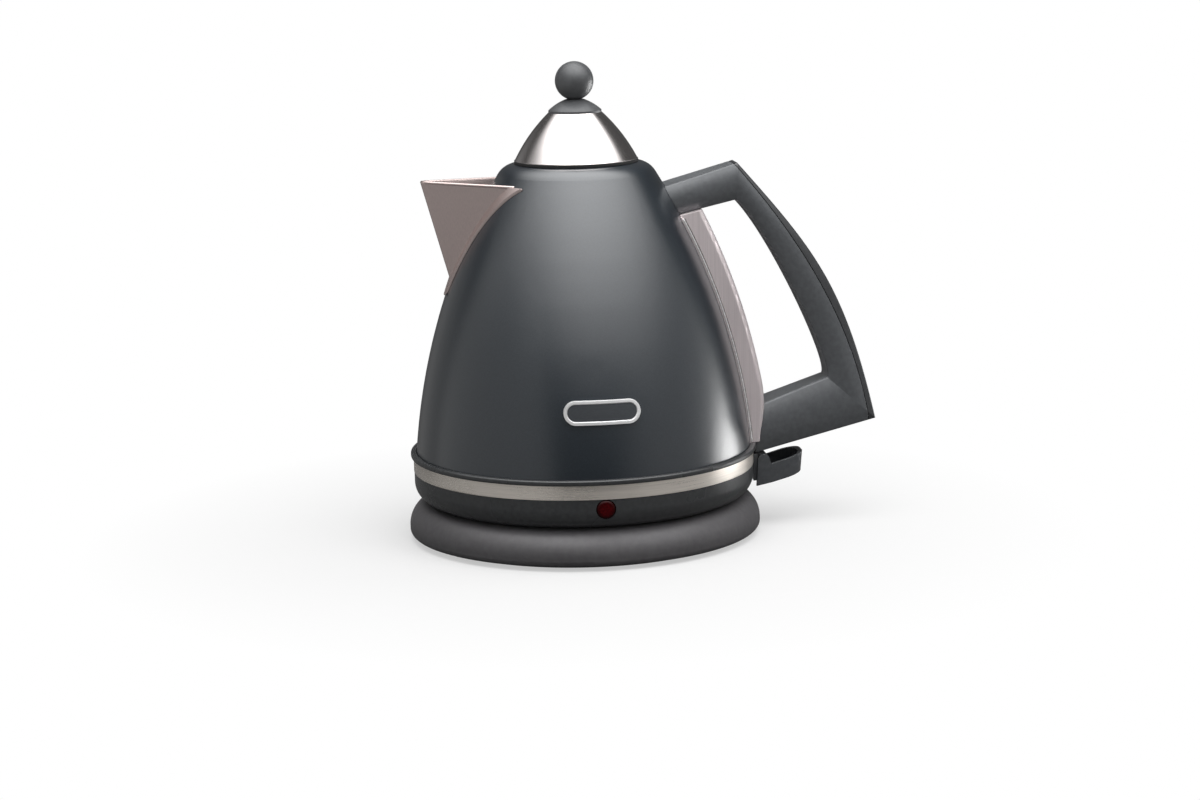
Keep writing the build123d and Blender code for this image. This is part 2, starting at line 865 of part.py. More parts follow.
# Hollow steel spine with the slot for the gauge window
with BuildPart() as spine:
    add(spine_form(0))
    add(spine_inside, mode=Mode.SUBTRACT)
    with BuildPart(mode=Mode.PRIVATE) as flange:
        flange_half = spine_width / 2 + spine_flange
        flange_base = lip_top + fit_gap
        flange_high = shell_top - spine_flange_drop
        add(shell_layer(-shell_wall, fit_gap + spine_flange_sheet, flange_base, flange_high))
        block((0, -flange_half, flange_base), (spine_tip, flange_half, flange_high), Mode.INTERSECT)
        add(spine_inside, mode=Mode.SUBTRACT)
    add(flange.part)
    add(shell_outside, mode=Mode.SUBTRACT)
    block(
        (0, -gauge_width / 2 - fit_gap, seat + gauge_low - fit_gap),
        (spine_tip, gauge_width / 2 + fit_gap, gauge_high + fit_gap),
        Mode.SUBTRACT,
    )
    with BuildSketch(Plane.YZ):
        with Locations((0, seat + handle_screw_height)):
            with GridLocations(handle_screw_spread, 0, 2, 1):
                Circle(thread_bore)
    extrude(amount=from_foot(low_corner_outer)[0], mode=Mode.SUBTRACT)

# Clear window of the water gauge and the seal behind its rim
with BuildPart() as gauge_window:
    add(shell_layer(spine_depth - gauge_sheet, spine_depth + gauge_proud, seat + gauge_low, gauge_high))
    block(
        (0, -gauge_width / 2, seat + gauge_low),
        (spine_tip, gauge_width / 2, gauge_high),
        Mode.INTERSECT,
    )

with BuildPart() as gauge_seal:
    seal_out = spine_depth - gauge_sheet - fit_gap
    seal_low = seat + gauge_low - gauge_seal_rim
    seal_high = gauge_high + gauge_seal_rim
    seal_half = gauge_width / 2 + gauge_seal_rim
    add(shell_layer(seal_out - gauge_seal_sheet, seal_out, seal_low, seal_high))
    block((0, -seal_half, seal_low), (spine_tip, seal_half, seal_high), Mode.INTERSECT)
    block(
        (0, -gauge_width / 2 + gauge_seal_rim, seal_low + 2 * gauge_seal_rim),
        (spine_tip, gauge_width / 2 - gauge_seal_rim, seal_high - 2 * gauge_seal_rim),
        Mode.SUBTRACT,
    )

# Steam tube from the top of the vessel down inside the spine
with BuildPart() as steam_tube:
    tube_out = steam_radius + 2 * run_gap
    tube_high = steam_high
    tube_low = seat + steam_low
    with BuildLine(Plane.XZ) as tube_path:
        down = ThreePointArc(*shell_arc_points(tube_high, tube_low, tube_out))
        Line((shell_radius(tube_high) - 2 * shell_wall, tube_high), down @ 0)
        fillet(vertices().sort_by_distance(down @ 0)[0], steam_bend)
    with BuildSketch(Plane(tube_path.line @ 0, z_dir=tube_path.line % 0)):
        Circle(steam_radius)
        Circle(steam_bore, mode=Mode.SUBTRACT)
    sweep(path=tube_path.line)

# Handle: three mitred bars, with a separate strip along the outside of the grip
with BuildPart() as handle_form:
    loft([low_mitre, low_end])
    loft([low_mitre, lower_grip, upper_grip, top_mitre])
    loft([top_end, top_mitre])

with BuildPart() as handle_frame:
    add(handle_form.part)
    add(strip_side(strip_depth + seam), mode=Mode.SUBTRACT)
    add(shell_outside, mode=Mode.SUBTRACT)
    add(spine_outside, mode=Mode.SUBTRACT)
    disc(lip_radius + fit_gap, seat, lip_top + fit_gap, mode=Mode.SUBTRACT)
    with BuildSketch(Plane.YZ):
        with Locations((0, seat + handle_screw_height)):
            with GridLocations(handle_screw_spread, 0, 2, 1):
                Circle(thread_bore)
    extrude(amount=spine_tip + handle_screw_reach + fit_gap, mode=Mode.SUBTRACT)

with BuildPart() as handle_cover:
    add(handle_form.part)
    add(strip_side(strip_depth), mode=Mode.INTERSECT)

# Screws from inside the spine into the lower bar of the handle
with BuildPart() as handle_screws:
    head_back = spine_tip - spine_wall - fit_gap - screw_head
    with BuildSketch(Plane.YZ.offset(head_back)):
        with Locations((0, seat + handle_screw_height)):
            with GridLocations(handle_screw_spread, 0, 2, 1):
                Circle(screw_head_radius)
    extrude(amount=screw_head)
    with BuildSketch(Plane.YZ.offset(head_back + screw_head)):
        with Locations((0, seat + handle_screw_height)):
            with GridLocations(handle_screw_spread, 0, 2, 1):
                Circle(screw_radius)
    extrude(amount=handle_screw_reach)

# Blank oval plate that follows the shell, with a raised rim
with BuildPart() as name_plate:
    plate_low = seat + plate_level - plate_height
    plate_high = seat + plate_level + plate_height
    with BuildSketch(Plane.XZ):
        with Locations((0, seat + plate_level)):
            SlotOverall(plate_width, plate_height)
    extrude(amount=skirt_radius)
    add(shell_layer(fit_gap, plate_sheet, plate_low, plate_high), mode=Mode.INTERSECT)
    with BuildPart(mode=Mode.PRIVATE) as plate_field:
        with BuildSketch(Plane.XZ):
            with Locations((0, seat + plate_level)):
                SlotOverall(plate_width - 2 * plate_rim, plate_height - 2 * plate_rim)
        extrude(amount=skirt_radius)
        add(shell_layer(plate_sheet - plate_recess, 2 * plate_sheet, plate_low, plate_high), mode=Mode.INTERSECT)
    add(plate_field.part, mode=Mode.SUBTRACT)

# Red lens in the skirt, its lamp and the holder on the skirt's floor
lens_face = sqrt(skirt_radius**2 - lens_radius**2) + lens_proud
with BuildPart() as indicator_lens:
    with BuildSketch(Plane.XZ.offset(lens_face - lens_length)):
        with Locations((0, seat + lens_level)):
            Circle(lens_radius)
    extrude(amount=lens_length)
    fillet(faces().sort_by(Axis.Y)[0].edges(), lens_round)

lamp_front = lens_face - lens_length - lamp_gap
with BuildPart() as indicator_lamp:
    with BuildSketch(Plane.XZ.offset(lamp_front - lamp_length)):
        with Locations((0, seat + lens_level)):
            Circle(lamp_radius)
    extrude(amount=lamp_length)
    fillet(faces().sort_by(Axis.Y)[0].edges(), lamp_radius / 2)

with BuildPart() as lamp_holder:
    holder_back = -lamp_front + lamp_length
    block(
        (-holder_width / 2, holder_back - holder_depth, skirt_inside),
        (holder_width / 2, holder_back, skirt_inside + holder_height),
    )
    with BuildSketch(Plane.XZ):
        with Locations((0, seat + lens_level)):
            Circle(lamp_radius + fit_gap)
    extrude(amount=skirt_radius, mode=Mode.SUBTRACT)

# Floor of the vessel: steel plate in a rubber seal, heat diffuser and ring element
seal_outer = shell_radius(seal_top) - shell_wall - 2 * fit_gap
seal_inner = seal_outer - seal_width
with BuildPart() as element_plate:
    disc(seal_inner + seal_grip, floor_low, floor_top)

with BuildPart() as element_seal:
    disc(seal_outer, shell_foot, seal_top, seal_inner)
    disc(seal_inner + seal_grip + fit_gap, floor_low - fit_gap, floor_top + fit_gap, mode=Mode.SUBTRACT)

with BuildPart() as diffuser_plate:
    disc(diffuser_radius, diffuser_low, floor_low)
    pegs(thread_bore, diffuser_low, floor_low, control_screw_circle, 3, 30, Mode.SUBTRACT)

with BuildPart() as heating_element:
    element_level = diffuser_low - element_radius - fit_gap
    with BuildLine(Plane.XY.offset(element_level)) as element_path:
        CenterArc((0, 0), element_circle, element_open / 2, 360 - element_open)
    with BuildSketch(Plane(element_path.line @ 0, z_dir=element_path.line % 0)):
        Circle(element_radius)
    sweep(path=element_path.line)

# Control with the cavity that goes over the socket post
with BuildPart() as control_body:
    turn(
        (
            (0, ceiling),
            (cavity_radius, ceiling),
            (cavity_radius, seat + control_low + cavity_flare),
            (cavity_mouth, seat + control_low),
            (control_radius, seat + control_low),
            (control_radius, control_roof),
            (0, control_roof),
        )
    )
    pegs(control_post, control_roof, diffuser_low, control_screw_circle, 3, 30)
    lug_low = seat + rocker_level + rocker_sheet / 2 + 2 * run_gap
    block(
        (control_radius - trip_lug_width / 2, -trip_lug_width / 2, lug_low),
        (control_radius + trip_lug_reach, trip_lug_width / 2, lug_low + trip_lug_height),
    )
    screw_holes(seat + control_low, control_roof, control_screw_circle, 3, 30)
    disc(pin_radius + fit_gap, ceiling, ceiling + pin_root, mode=Mode.SUBTRACT)
    for ring in (live_ring_radius, neutral_ring_radius):
        disc(
            ring + fit_gap,
            ceiling,
            ceiling + ring_root,
            ring - ring_sheet - fit_gap,
            Mode.SUBTRACT,
        )

with BuildPart() as earth_pin:
    disc(pin_radius, seat + pin_low, ceiling + pin_root)
    fillet(edges().group_by(Axis.Z)[0], pin_radius / 2)

with BuildPart() as live_ring:
    disc(live_ring_radius, seat + ring_low, ceiling + ring_root, live_ring_radius - ring_sheet)

with BuildPart() as neutral_ring:
    disc(neutral_ring_radius, seat + ring_low, ceiling + ring_root, neutral_ring_radius - ring_sheet)

with BuildPart() as control_screws:
    control_reach = floor_low - seat - control_low - screw_head - 2 * fit_gap
    upright_screws(seat + control_low + fit_gap, control_reach, control_screw_circle, 3, 30)

# Two dished discs that feel the heat of the diffuser
with BuildPart() as bimetal_discs:
    dish = diffuser_low - control_roof - 2 * fit_gap
    for angle in (90, 210):
        place = Vector(0, bimetal_circle, control_roof + fit_gap).rotate(Axis.Z, angle - 90)
        with BuildSketch(Plane(origin=place, x_dir=(1, 0, 0), z_dir=(0, -1, 0))):
            with BuildLine():
                crown = ThreePointArc(
                    (0, dish),
                    (bimetal_radius / 2, dish - (dish - bimetal_sheet) / 4),
                    (bimetal_radius, bimetal_sheet),
                )
                hollow = ThreePointArc(
                    (0, dish - bimetal_sheet),
                    (bimetal_radius / 2, dish - bimetal_sheet - (dish - bimetal_sheet) / 4),
                    (bimetal_radius, 0),
                )
                Line(crown @ 0, hollow @ 0)
                Line(crown @ 1, hollow @ 1)
            make_face()
        revolve(axis=Axis(place, (0, 0, 1)))

# Bottom cover with the hole for the boss and two ears for the rocker
with BuildPart() as bottom_cover:
    disc(foot_ring_inner - fit_gap, cover_low, cover_top, cover_hole)
    screw_holes(cover_low, screw_reach, cover_screw_circle, 3, 60)
    rocker_axis = (foot_ring_inner - rocker_inset, seat + rocker_level)
    ear_inner = rocker_width / 2 + rocker_side_gap
    for side in (-1, 1):
        ear_sides = sorted((side * ear_inner, side * (ear_inner + rocker_ear_width)))
        block(
            (rocker_axis[0] - rocker_ear_length / 2, ear_sides[0], cover_top),
            (rocker_axis[0] + rocker_ear_length / 2, ear_sides[1], rocker_axis[1] + rocker_boss),
        )
    cross_bar(rocker_pin_radius + pin_gap, rocker_axis, 4 * rocker_width, Mode.SUBTRACT)

with BuildPart() as bottom_screws:
    upright_screws(cover_low + fit_gap, screw_reach, cover_screw_circle, 3, 60)

with BuildPart() as rocker_pin:
    cross_bar(rocker_pin_radius, rocker_axis, 2 * (ear_inner + rocker_ear_width))

# Rocker that carries the lever's movement to the control
tail_end = skirt_radius - tail_reach
with BuildPart() as trip_rocker:
    half_sheet = rocker_sheet / 2
    rocker_inner = control_radius + trip_lug_reach - rocker_lap
    rocker_outer = tail_end + rocker_lap
    slab(
        (
            (rocker_inner, rocker_axis[1] - half_sheet),
            (rocker_outer, rocker_axis[1] - half_sheet),
            (rocker_outer, rocker_axis[1] + half_sheet),
            (rocker_inner, rocker_axis[1] + half_sheet),
        ),
        rocker_width,
    )
    cross_bar(rocker_boss, rocker_axis, rocker_width)
    cross_bar(rocker_pin_radius + pin_gap, rocker_axis, rocker_width, Mode.SUBTRACT)

# Housing of the switch: plate on the skirt and tongue for the pivot, between the lever's cheeks
pivot_at = from_foot(lever_pivot)
scoop_width = lever_width - 2 * lever_wall
with BuildPart() as switch_housing:
    plate_inner = band_radius + fit_gap
    plate_outer = plate_inner + housing_sheet
    housing_half = scoop_width / 2 - run_gap
    housing_low_z = seat + housing_low
    housing_high_z = seat + housing_high
    disc(plate_outer, housing_low_z, housing_high_z, plate_inner)
    block(
        (0, -housing_half, housing_low_z),
        (lip_radius + housing_sheet, housing_half, housing_high_z),
        Mode.INTERSECT,
    )
    slab(
        (
            (plate_inner + fit_gap, pivot_at[1] - tongue_radius),
            (pivot_at[0], pivot_at[1] - tongue_radius),
            (pivot_at[0], pivot_at[1] + tongue_radius),
            (plate_inner + fit_gap, pivot_at[1] + tongue_radius),
        ),
        tongue_width,
    )
    cross_bar(tongue_radius, pivot_at, tongue_width)
    disc(plate_inner, housing_low_z, lip_top, mode=Mode.SUBTRACT)
    block(
        (0, -tail_slot_width / 2, seat + tail_slot_low),
        (plate_outer + fit_gap, tail_slot_width / 2, pivot_at[1] - tongue_radius),
        Mode.SUBTRACT,
    )
    cross_bar(switch_pin_radius + fit_gap, pivot_at, lever_width, Mode.SUBTRACT)

# Pivot pin, held in blind holes in the lever's cheeks
with BuildPart() as switch_pin:
    cross_bar(switch_pin_radius, pivot_at, lever_width - lever_wall - 2 * seat_gap)

# Scooped lever: two cheeks on the pivot pin, a rounded end and a tail that reaches the rocker
with BuildPart() as switch_lever:
    foot_at = from_foot(lever_foot)
    heel_at = from_foot(lever_heel)
    toe_at = from_foot(lever_toe)
    tip_at = from_foot(lever_tip)
    rim_at = from_foot(lever_rim)
    slab(
        (
            foot_at,
            heel_at,
            toe_at,
            tip_at,
            rim_at,
            (pivot_at[0] + lever_ear, pivot_at[1]),
            (pivot_at[0] - lever_ear, pivot_at[1]),
        ),
        lever_width,
    )
    fillet(edges().filter_by(Axis.Z, tolerance=20).group_by(Axis.X)[-1], lever_end_round)
    cross_bar(lever_ear, pivot_at, lever_width)
    with BuildPart(mode=Mode.PRIVATE) as scoop:
        above = tip_at[1] + lever_width
        scoop_back = skirt_radius + scoop_start
        end_lean = (tip_at[0] - toe_at[0]) / (tip_at[1] - toe_at[1])
        slope = (toe_at[1] - heel_at[1]) / (toe_at[0] - heel_at[0])
        floor_end = toe_at[0] - lever_wall
        floor_high = toe_at[1] + lever_floor - slope * lever_wall
        slab(
            (
                (skirt_radius - skirt_round, seat),
                (scoop_back, seat),
                (scoop_back, heel_at[1] + lever_floor),
                (heel_at[0], heel_at[1] + lever_floor),
                (floor_end, floor_high),
                (floor_end + end_lean * (above - floor_high), above),
                (skirt_radius - skirt_round, above),
            ),
            scoop_width,
        )
        fillet(edges().filter_by(Axis.Z, tolerance=20).group_by(Axis.X)[-1], lever_end_round - lever_wall)
    add(scoop.part, mode=Mode.SUBTRACT)
    tail_top = seat + tail_level + tail_sheet
    riser_end = heel_at[0] + lever_wall
    block((tail_end, -tail_width / 2, seat + tail_level), (riser_end, tail_width / 2, tail_top))
    block((heel_at[0] - lever_wall, -tail_width / 2, heel_at[1]), (riser_end, tail_width / 2, tail_top))
    cross_bar(switch_pin_radius + pin_gap, pivot_at, lever_width - lever_wall, Mode.SUBTRACT)

# Lid: polished cone, plug and seal under it, collar and ball knob on top
lid_bore = lid_screw_radius + fit_gap
with BuildPart() as lid_cone:
    with BuildSketch(Plane.XZ):
        with BuildLine():
            outer = SagittaArc((lid_radius, lid_low), (lid_crown_radius, lid_high), -lid_bulge)
            inner = SagittaArc(
                (lid_radius - lid_wall, lid_low),
                (lid_crown_radius - lid_wall, lid_high - lid_wall),
                -lid_bulge,
            )
            Line(outer @ 0, inner @ 0)
            Polyline(
                outer @ 1,
                (lid_bore, lid_high),
                (lid_bore, lid_high - lid_wall),
                inner @ 1,
            )
        make_face()
    revolve(axis=Axis.Z)

plug_radius = mouth_radius - run_gap
plug_low = lid_seat - plug_drop
with BuildPart() as lid_plug:
    turn(
        (
            (lid_bore, plug_low),
            (plug_radius, plug_low),
            (plug_radius, lid_low),
            (lid_radius - plug_rim, lid_low),
            (lid_radius - plug_rim, lid_low + plug_plate),
            (plug_boss, lid_low + plug_plate),
            (plug_boss, lid_high - lid_wall),
            (lid_bore, lid_high - lid_wall),
        )
    )
    disc(plug_radius - plug_wall, plug_low + plug_wall, lid_low, plug_boss, Mode.SUBTRACT)
    disc(lid_screw_head_radius + fit_gap, plug_low, plug_low + lid_screw_head, mode=Mode.SUBTRACT)

with BuildPart() as lid_seal:
    disc(lid_seal_radius, lid_seat, lid_low, plug_radius + fit_gap)

with BuildPart() as lid_collar:
    with BuildSketch(Plane.XZ):
        with BuildLine():
            slope = SagittaArc((lid_crown_radius, lid_high + collar_edge), (collar_neck, collar_top), -collar_bulge)
            Polyline(
                slope @ 1,
                (lid_bore, collar_top),
                (lid_bore, lid_high),
                (lid_crown_radius, lid_high),
                slope @ 0,
            )
        make_face()
    revolve(axis=Axis.Z)

with BuildPart() as lid_knob:
    with BuildSketch(Plane.XZ):
        with Locations((0, knob_centre)):
            Circle(knob_radius)
        split(bisect_by=Plane.YZ)
    revolve(axis=Axis.Z)
    split(bisect_by=Plane.XY.offset(collar_top), keep=Keep.TOP)
    disc(lid_bore, collar_top, collar_top + lid_screw_reach + fit_gap, mode=Mode.SUBTRACT)

with BuildPart() as lid_screw:
    disc(lid_screw_head_radius, plug_low + fit_gap, plug_low + lid_screw_head - fit_gap)
    disc(lid_screw_radius, plug_low + lid_screw_head - fit_gap, collar_top + lid_screw_reach)
    with BuildSketch(Plane.XY.offset(plug_low + fit_gap)):
        Rectangle(screw_slot, 2 * lid_screw_head_radius)
    extrude(amount=screw_head / 2, mode=Mode.SUBTRACT)

# One STEP file for each piece
pieces = {
    "base_cover": base_cover,
    "base_bottom": base_bottom,
    "foot_ring": foot_ring,
    "base_screws": base_screws,
    "base_socket": base_socket,
    "socket_earth_contact": socket_earth_contact,
    "socket_live_contact": socket_live_contact,
    "socket_neutral_contact": socket_neutral_contact,
    "cord_gland": cord_gland,
    "shutter_ring": shutter_ring,
    "body_shell": body_shell,
    "spout": spout,
    "filter_frame": filter_frame,
    "filter_mesh": filter_mesh,
    "spine": spine,
    "gauge_window": gauge_window,
    "gauge_seal": gauge_seal,
    "steam_tube": steam_tube,
    "handle_frame": handle_frame,
    "handle_cover": handle_cover,
    "handle_screws": handle_screws,
    "name_plate": name_plate,
    "lower_skirt": lower_skirt,
    "trim_band": trim_band,
    "indicator_lens": indicator_lens,
    "indicator_lamp": indicator_lamp,
    "lamp_holder": lamp_holder,
    "element_plate": element_plate,
    "element_seal": element_seal,
    "diffuser_plate": diffuser_plate,
    "heating_element": heating_element,
    "control_body": control_body,
    "earth_pin": earth_pin,
    "live_ring": live_ring,
    "neutral_ring": neutral_ring,
    "bimetal_discs": bimetal_discs,
    "control_screws": control_screws,
    "bottom_cover": bottom_cover,
    "bottom_screws": bottom_screws,
    "rocker_pin": rocker_pin,
    "trip_rocker": trip_rocker,
    "switch_housing": switch_housing,
    "switch_pin": switch_pin,
    "switch_lever": switch_lever,
    "lid_cone": lid_cone,
    "lid_plug": lid_plug,
    "lid_seal": lid_seal,
    "lid_collar": lid_collar,
    "lid_knob": lid_knob,
    "lid_screw": lid_screw,
}
for name, piece in pieces.items():
    piece.part.label = name
    export_step(piece.part, f"parts/{name}.step")
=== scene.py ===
"""Looks of an electric kettle on its round power base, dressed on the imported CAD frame."""

import logging
import math
from dataclasses import dataclass, field
from enum import Enum

import bmesh
import bpy
from mathutils import Matrix, Vector


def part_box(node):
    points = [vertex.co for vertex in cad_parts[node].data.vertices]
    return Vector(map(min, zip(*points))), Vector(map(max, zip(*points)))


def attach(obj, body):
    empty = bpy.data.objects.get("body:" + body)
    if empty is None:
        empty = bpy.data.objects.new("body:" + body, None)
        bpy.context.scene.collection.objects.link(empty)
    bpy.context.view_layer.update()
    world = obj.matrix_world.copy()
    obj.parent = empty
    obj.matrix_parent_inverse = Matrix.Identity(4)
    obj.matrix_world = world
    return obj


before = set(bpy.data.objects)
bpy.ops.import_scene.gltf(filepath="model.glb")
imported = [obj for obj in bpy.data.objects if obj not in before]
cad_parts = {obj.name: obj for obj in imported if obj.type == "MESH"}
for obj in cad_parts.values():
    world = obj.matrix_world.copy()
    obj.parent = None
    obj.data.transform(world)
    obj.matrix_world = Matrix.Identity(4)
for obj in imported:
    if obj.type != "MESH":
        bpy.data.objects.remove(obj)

log = logging.getLogger("kettle")

Colour = tuple[float, float, float]
Value = bpy.types.NodeSocket | float | tuple
Sockets = dict[str, bpy.types.NodeSocket]


class Lay(Enum):
    """Which way the fine lines of a brushed metal run."""

    AROUND = "around"
    UPRIGHT = "upright"
    LENGTHWISE = "lengthwise"


class Wiring:
    """Short way to add and join the nodes of one shader tree."""

    def __init__(self, tree: bpy.types.NodeTree) -> None:
        """Keeps the tree that the nodes go into."""
        self.tree = tree

    def feed(self, socket: bpy.types.NodeSocket, value: Value) -> None:
        """Links a socket to an input, or sets the input to a plain value.

        Args:
            socket: Input that is fed.
            value: Output socket, number or colour.
        """
        if isinstance(value, bpy.types.NodeSocket):
            self.tree.links.new(value, socket)
        elif isinstance(value, tuple) and len(value) == 3 and socket.type == "RGBA":
            socket.default_value = (*value, 1.0)
        else:
            socket.default_value = value

    def fill(self, node: bpy.types.Node, inputs: dict[str | int, Value]) -> None:
        """Feeds several inputs of one node, given by name or number."""
        for name, value in inputs.items():
            self.feed(node.inputs[name], value)

    def add(
        self, kind: str, inputs: dict[str | int, Value] | None = None, **settings: object
    ) -> bpy.types.Node:
        """Adds one node.

        Args:
            kind: Blender's name of the node type, without its prefix.
            inputs: What goes into its inputs, by name or number.
            settings: The node's own properties.

        Returns:
            The new node.
        """
        node = self.tree.nodes.new("ShaderNode" + kind)
        for name, value in settings.items():
            setattr(node, name, value)
        self.fill(node, inputs or {})
        return node

    def group(self, tree: bpy.types.NodeTree, inputs: dict[str, Value]) -> bpy.types.Node:
        """Adds a shared node group, with what goes into its inputs by name."""
        return self.add("Group", inputs, node_tree=tree)

    def place(self) -> bpy.types.NodeSocket:
        """Adds the point on the object that is shaded."""
        return self.add("TexCoord").outputs["Object"]

    def sum(
        self, operation: str, first: Value, second: Value = 0.0, clamp: bool = False
    ) -> bpy.types.NodeSocket:
        """Adds a math node and gives its result, kept between 0 and 1 if it is clamped."""
        node = self.add("Math", {0: first, 1: second}, operation=operation, use_clamp=clamp)
        return node.outputs[0]

    def vector(
        self, operation: str, first: Value, second: Value = (0.0, 0.0, 0.0)
    ) -> bpy.types.NodeSocket:
        """Adds a vector math node and gives its result, a number for a length or dot product."""
        node = self.add("VectorMath", {0: first, 1: second}, operation=operation)
        return node.outputs["Value" if operation in ("LENGTH", "DOT_PRODUCT") else "Vector"]

    def blend(self, factor: Value, first: Value, second: Value) -> bpy.types.NodeSocket:
        """Mixes two colours: a factor of 0 gives the first and 1 the second."""
        return self.add("Mix", {0: factor, 6: first, 7: second}, data_type="RGBA").outputs[2]

    def mix(self, factor: Value, first: Value, second: Value) -> bpy.types.NodeSocket:
        """Mixes two numbers: a factor of 0 gives the first and 1 the second."""
        return self.add("Mix", {0: factor, 2: first, 3: second}, data_type="FLOAT").outputs[0]

    def span(
        self, value: Value, low: float, high: float, to_low: float, to_high: float
    ) -> bpy.types.NodeSocket:
        """Maps a range of values to another, held at both ends."""
        inputs = {0: value, 1: low, 2: high, 3: to_low, 4: to_high}
        return self.add("MapRange", inputs, clamp=True).outputs[0]


